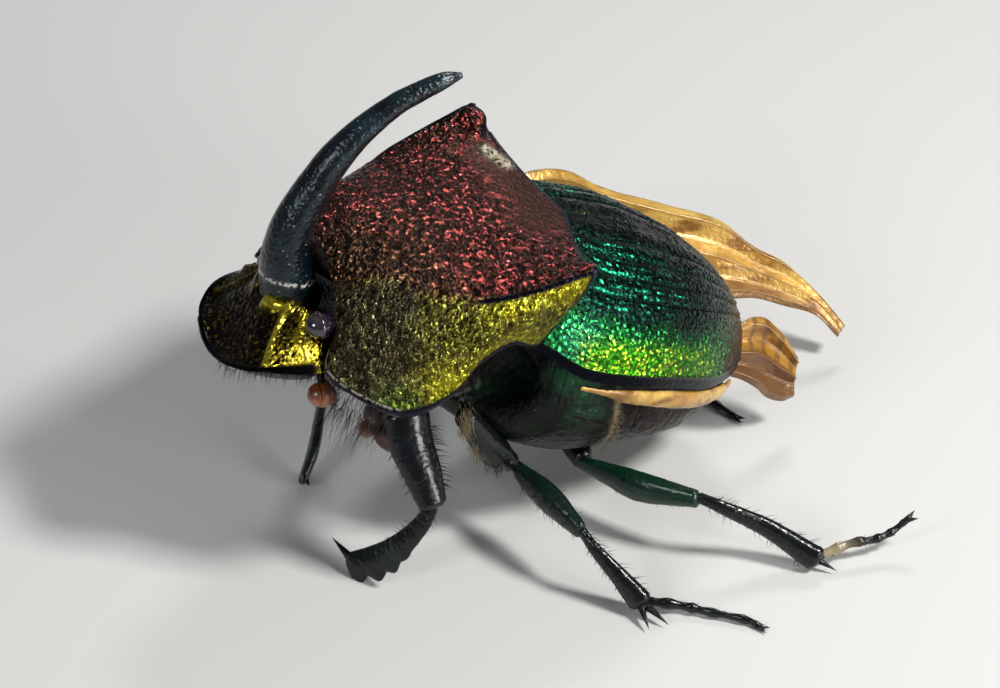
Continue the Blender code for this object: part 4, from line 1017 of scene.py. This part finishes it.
def leg_parts():
    """Every leg segment: its leg, pair, part, new name and place function."""
    for leg, paths in LEG_PATHS.items():
        pair, side = leg.split("_")
        hip = limb_place(paths["coxa"], COXA_WIDTHS[pair], (1, 0, 0.01), 0.9)
        thigh = limb_place(paths["femur"], FEMUR_WIDTHS[pair], FEMUR_FLAT[pair], LIMB_THINNESS)
        yield leg, pair, "coxa", "hip", hip
        yield leg, pair, "femur", "thigh", thigh
        if pair == "front":
            lean = np.array(TOOTH_LEAN) * (1 if side == "left" else -1, 1, 1)
            shin = limb_place(paths["tibia"], TIBIA_WIDTHS[pair], lean, DIGGER_THINNESS, tooth_crest)
        else:
            shin = limb_place(paths["tibia"], TIBIA_WIDTHS[pair], (0, 0, 1), LIMB_THINNESS)
        yield leg, pair, "tibia", "shin", shin
        if "tarsus" in paths:
            line = curve(paths["tarsus"], np.linspace(0, 1, len(TARSUS_WIDTHS)))
            yield leg, pair, "tarsus", "foot", limb_place(line, TARSUS_WIDTHS, (0, 0, 1), 0.85)


def build_legs(material):
    """Six legs of hip, thigh, shin and foot."""
    for leg, pair, part, word, place in leg_parts():
        rows = 200 if (pair, part) == ("front", "tibia") else 110
        piece, spots = laid_grid(leg + "_" + word, 44, rows, place, FLOOR)
        lift(piece, 0.012 * grain(spots, 0.4, 1.0) - 0.012 * step(grain(spots, 0.14, 5.0), 0.25, 0.5))
        keep_above_floor(piece)
        green, brown = LEG_TINTS.get((pair, part), (0, 0))
        dusty = 0.8 if (leg, part) == ("hind_left", "tarsus") else 0
        paint(piece, green=green, brown=brown, pale=dusty * bell(stored(piece, "v") - 0.1, 0.16))
        dress(piece, material, "leg", leg + "_" + part)


def build_spurs(material):
    """The spurs at the ends of the shins and the claws of the feet."""
    ends = [(curve(LEG_PATHS[leg][part], np.array([share]))[0], lean)
            for leg, part, share, leans in SPURS for lean in leans]
    roots, leans = (np.array(column) for column in zip(*ends))
    widths = 0.16 + 0.2 * np.linalg.norm(leans, axis=1)
    piece = build_hairs("spurs_and_claws", roots, leans, 0 * leans, widths, 0 * leans[:, :2], FLOOR,
                        SPUR_SIDES)
    keep_above_floor(piece)
    paint(piece, green=0, brown=0, pale=0)
    dress(piece, material, "leg")


def hair_finish(name, colour, roughness):
    """Stiff hair, a little paler toward its tip."""
    look = Finish(name, 0.0, roughness)
    look.set(look.tint(colour, tip=[min(channel * 2.2, 1.0) for channel in colour]), "Base Color")
    return look.material


def build_hairs(name, roots, leans, bends, widths, spots, carrier, sides=HAIR_SIDES):
    """Tapered, bending hairs in one mesh; each is a small patch at its spot on the unwrap."""
    across = directions(np.cross(leans, (0.31, 0.52, 0.79)))
    beside = directions(np.cross(across, leans))
    turns = np.tile(np.arange(sides) / sides, len(HAIR_RINGS))
    heights = np.repeat(HAIR_RINGS, sides)
    points = []
    for turn, height in zip(turns * 2 * math.pi, heights):
        ring = (across * math.cos(turn) + beside * math.sin(turn)) * (widths * (1 - height) / 2)[:, None]
        points.append(roots + leans * height + bends * height ** 2 + ring)
    points = np.stack([*points, roots + leans + bends], axis=1)
    tip = len(heights)
    faces = [tuple(range(sides))[::-1]]
    for low in range(0, tip, sides):
        for i, j in zip(range(sides), [*range(1, sides), 0]):
            above = (low + sides + j, low + sides + i) if low + sides < tip else (tip,)
            faces.append((low + i, low + j, *above))
    count = tip + 1
    every = [tuple(corner + hair * count for corner in face) for hair in range(len(roots)) for face in faces]
    mesh = bpy.data.meshes.new(name)
    mesh.from_pydata(carry(points.reshape(-1, 3), carrier).tolist(), [], every)
    piece = linked(name, mesh)
    patch = np.stack([np.append(turns, 0.5), np.append(heights, 1.0)], axis=1)
    paint(piece, tip=np.tile(patch[:, 1], len(roots)))
    corners = np.empty(len(mesh.loops), int)
    mesh.loops.foreach_get("vertex_index", corners)
    places = np.asarray(spots)[corners // count] + patch[corners % count] * HAIR_PATCH
    mesh.uv_layers.new(name="OFBake").data.foreach_set("uv", places.ravel())
    close_shell(piece)
    return piece


def tile_spot(tile, u, v):
    """A place on the shared unwrap: each skin has its own square of it."""
    return np.stack([tile % HAIR_TILES + u, tile // HAIR_TILES + v], axis=1) / HAIR_TILES


def gathered(rows):
    """Each column of the rows, joined end to end."""
    return [np.concatenate(column) for column in zip(*rows)]


def build_bristles():
    """Stiff dark bristles along the legs."""
    draw = np.random.default_rng(7)
    hairs = []
    for tile, (leg, pair, part, word, place) in enumerate(leg_parts()):
        for turn, start, end, count, length in BRISTLE_ROWS.get((pair, part), []):
            u = np.mod(turn + draw.normal(0, 0.045, count), 1)
            v = CAP_SHARE + (1 - 2 * CAP_SHARE) * np.sort(draw.uniform(start, end, count))
            line, along = LEG_PATHS[leg][part], between_caps(v)
            root = place(u, v)
            out = directions(root - curve(line, along))
            ahead = heading(line, along, 0.02)
            size = length * draw.uniform(0.6, 1.15, count)[:, None]
            lean = out + ahead * draw.uniform(0.2, 0.7, count)[:, None] + draw.normal(0, 0.12, (count, 3))
            hairs.append((root - out * 0.04, directions(lean) * size, ahead * size * 0.25,
                          np.full(count, BRISTLE_WIDTH), tile_spot(tile, u, v)))
    piece = build_hairs("leg_bristles", *gathered(hairs), FLOOR)
    keep_above_floor(piece)
    dress(piece, hair_finish("dark_bristle", (0.012, 0.01, 0.01), 0.35), "leg")


def build_coat(name, seed, finish, slot):
    """The rows of one coat, left then right, in one mesh; each row has a square of the unwrap."""
    draw = np.random.default_rng(seed)
    hairs = []
    for side, flip in enumerate(((1, 1, 1), (-1, 1, 1))):
        for path, counts, spread, lean, lengths in HAIR_ROWS[name]:
            count = counts[side]
            share = np.sort(draw.uniform(0, 1, count))
            root = curve(path, share) * flip + draw.normal(0, spread, (count, 3))
            out = np.multiply(lean, flip) / np.linalg.norm(lean) + draw.normal(0, 0.25, (count, 3))
            size = lengths[side] * draw.uniform(0.55, 1.15, count)[:, None]
            spot = tile_spot(len(hairs), share, draw.uniform(0, 1, count))
            hairs.append((root, out * size, size * (0, 0.1, -0.3), np.full(count, HAIR_WIDTH), spot))
    dress(build_hairs(name, *gathered(hairs), BODY), finish, slot)


def build_coats():
    """The fringe of the head, the beard under the shield, and the gold tufts of the middle body."""
    dark = hair_finish("dark_hair", (0.01, 0.008, 0.006), 0.4)
    build_coat("head_fringe", 11, dark, "head")
    build_coat("beard", 12, dark, "underside")
    build_coat("golden_tufts", 13, hair_finish("golden_hair", (0.07, 0.052, 0.025), 0.4), "underside")


def wing_finish():
    """Golden straw membrane, brown in its folds, painted shade toward the trailing edge, silky."""
    look = Finish("straw_membrane", 0.3, 0.32, coat=0.3, coat_roughness=0.15)
    streaks = look.noise(2.2, 2.0, (1, 0.25, 1))
    colour = look.noise(0.5).ramp(0.35, 0.65).mix((0.36, 0.18, 0.025), (0.58, 0.37, 0.09))
    colour = streaks.ramp(0.45, 0.7).mix(colour, (0.2, 0.09, 0.015))
    colour = look.tint(colour, brown=(0.11, 0.05, 0.025), vein=(0.16, 0.075, 0.02))
    return look.finished(colour, streaks + look.noise(5.0), 0.05)


def wing_place(edges):
    """A pleated sheet between a leading and a trailing edge, closed close beneath."""
    leading, trailing = zip(*edges)

    def place(u, v):
        across = 2 * np.minimum(u, 1 - u)
        start = curve(leading, v)
        chord = curve(trailing, v) - start
        normal = directions(np.cross(chord, heading(leading, v)))
        fold = np.arcsin(WING_FOLD_SHARPNESS * np.sin(across * WING_PLEATS * 2 * math.pi)) / 1.4
        wave = fold * WING_PLEAT_HEIGHT * np.linalg.norm(chord, axis=1) / WING_FULL_SPREAD
        ends = clip(np.minimum(v, 1 - v) / 0.02)
        thick = WING_THICKNESS / 2 * np.sin(across * math.pi) ** 0.3 * ends * np.where(u < 0.5, 1, -1)
        return start + chord * across[:, None] + normal * (wave + thick)[:, None]
    return place


def build_wing(word, edges, material):
    """A hind wing that pokes out from under its wing case, its veins on the pleats."""
    piece, spots = laid_grid("hind_wing_" + word, 180, 240, wing_place(edges), BODY)
    u, v = stored(piece, "u"), stored(piece, "v")
    across = 2 * np.minimum(u, 1 - u)
    vein = sum(bell(across - at, 0.014) for at in WING_VEINS)
    left = word == "left"
    stripes = step(np.sin(v * 34 + 5 * across), 0.1, 0.8) * left
    # Painted shade browns the trailing half of the left wing's tip and the trailing part of the right wing,
    # beside the wing case
    trailing_shade = step(across, 0.46, 0.52) if left else 0.75 * step(across, 0.5, 0.9)
    lift(piece, 0.035 * vein + 0.03 * grain(spots, (0.5, 1.2, 0.5), 3.0))
    paint(piece, vein=clip(0.6 * vein + bell(across - 0.48, 0.03) * left),
          brown=clip(0.85 * trailing_shade + 0.6 * stripes * (across < 0.5)))
    dress(piece, material, "hindwing", "hindwing_" + word)


def build_wing_strip(material):
    """The folded edge of the left hind wing, a gold strip just under the wing case's rim."""
    place = limb_place(WING_STRIP, WING_STRIP_WIDTHS, (0, 0, 1), WING_STRIP_THINNESS)
    piece, spots = laid_grid("hind_wing_left_strip", 60, 240, place, BODY)
    crease = bell(stored(piece, "u") - 0.5, 0.04)
    lift(piece, 0.02 * grain(spots, (0.5, 0.25, 0.5), 3.0) - 0.05 * crease)
    paint(piece, vein=0.7 * crease, brown=0.25 * step(grain(spots, (0.6, 0.5, 0.6), 8.0), 0.25, 0.6))
    dress(piece, material, "hindwing", "hindwing_left")


def club_place(centre):
    """A ball parted into three plates by two grooves."""
    def place(u, v):
        lean, turn = (v - 0.5) * math.pi, u * 2 * math.pi
        level = np.sin(lean)
        ring = np.cos(lean) * (1 - sum(0.2 * bell(level - groove, 0.05) for groove in CLUB_GROOVES))
        return centre + np.stack([ring * np.cos(turn), level, ring * np.sin(turn)], axis=1) * CLUB_RADII
    return place


def build_feelers():
    """Antennae with three-plated clubs, the small feeler tip, and the mouth parts."""
    look = Finish("orange_club", 0.0, 0.32, coat=0.5, coat_roughness=0.15)
    colour = look.noise(2.4).ramp(0.35, 0.7).mix((0.13, 0.026, 0.008), (0.32, 0.09, 0.02))
    orange = look.finished(colour, look.noise(8.0), 0.02)
    dark = dark_finish("mouth_chitin", (0.01, 0.006, 0.005), (0.04, 0.02, 0.014))
    for side, word in ((1, "left"), (-1, "right")):
        place = club_place(np.array(CLUB_CENTRE) * (side, 1, 1))
        piece = laid_grid("antenna_" + word + "_club", 60, 80, place, BODY)[0]
        dress(piece, orange, "antenna", "antenna_" + word)
        path = np.array(CLUB_STALK) * (side, 1, 1)
        place = limb_place(path, [0.3, 0.24, 0.2], (0, 0, 1), 1.0)
        piece = laid_grid("antenna_" + word + "_stalk", 24, 30, place, BODY)[0]
        paint(piece, pale=0, shade=0)
        dress(piece, dark, "antenna")
    dress(ball("feeler_tip", FEELER_BALL, FEELER_RADII)[0], orange, "antenna")
    pale = Finish("pale_bead", 0.0, 0.3, coat=0.5)
    pale.set((0.6, 0.45, 0.27), "Base Color")
    dress(ball("feeler_bead", FEELER_BEAD, BEAD_RADII)[0], pale.material, "antenna")
    for name, path, widths, *nodes in MOUTH_TUBES:
        piece = laid_grid(name, 40, 60, limb_place(path, widths, (0, 0, 1), 0.9), BODY)[0]
        paint(piece, pale=0, shade=1)
        dress(piece, dark, "leg", *nodes)


def build_floor():
    """A plain pale table top."""
    calm()
    bpy.ops.mesh.primitive_plane_add(size=FLOOR_SIZE * MM)
    floor = bpy.context.object
    floor.name = floor.data.name = "table_top"
    paper = Finish("pale_paper", 0.0, 0.75, specular=0.3)
    paper.set((0.52, 0.525, 0.52), "Base Color")
    floor.data.materials.append(paper.material)
    floor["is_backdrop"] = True


def build_lights():
    """Dim room, one small strong lamp over the beetle's left rear, and soft fills round it."""
    world = bpy.data.worlds.new("room")
    bpy.context.scene.world = world
    world.use_nodes = True
    back = world.node_tree.nodes["Background"]
    back.inputs["Color"].default_value = (0.92, 0.96, 1.0, 1)
    back.inputs["Strength"].default_value = 0.13
    for name, place, size, power, colour in LAMPS:
        data = bpy.data.lights.new(name, "AREA")
        data.size = size * MM
        data.energy = power
        data.color = colour
        lamp = linked(name, data)
        lamp.location = Vector(place) * MM
        lamp.rotation_euler = (Vector(place) - Vector(LAMP_AIM)).to_track_quat("Z", "Y").to_euler()


def build_camera():
    """The photo's viewpoint: a long lens on the beetle's left front, with full colours."""
    bpy.context.scene.view_settings.view_transform = "Standard"
    data = bpy.data.cameras.new("camera")
    camera = linked("camera", data)
    bpy.context.scene.camera = camera
    back = Vector(CAMERA_BACK).normalized()
    camera.location = FLOOR @ (Vector(CAMERA_TARGET) * MM) + back * CAMERA_DISTANCE * MM
    camera.rotation_euler = back.to_track_quat("Z", "Y").to_euler()
    data.sensor_width = CAMERA_SENSOR
    data.lens = CAMERA_SENSOR * CAMERA_DISTANCE / CAMERA_VIEW_WIDTH
    data.clip_start = 5 * MM
    data.clip_end = 2.0


def write_sizes():
    """Gather the CAD box and the dressed box as plain lists, without writing them anywhere."""
    sizes = {"cad": cad_bounds, "visual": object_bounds()}
    plain = {name: [list(corner) for corner in corners] for name, corners in sizes.items()}


def build_beetle():
    """Every piece of the beetle."""
    build_pronotum()
    green, eye, amber = elytron_finish(), eye_finish(), wing_finish()
    for side, word in ((1, "left"), (-1, "right")):
        build_elytron(side, word, green)
        build_eye(word, eye)
    build_wing("left", LEFT_WING, amber)
    build_wing("right", RIGHT_WING, amber)
    build_wing_strip(amber)
    build_head()
    build_horn()
    build_trunk()
    black = leg_finish()
    build_legs(black)
    build_spurs(black)
    build_bristles()
    build_feelers()
    build_coats()


build_camera()
build_floor()
build_lights()
build_beetle()
write_sizes()
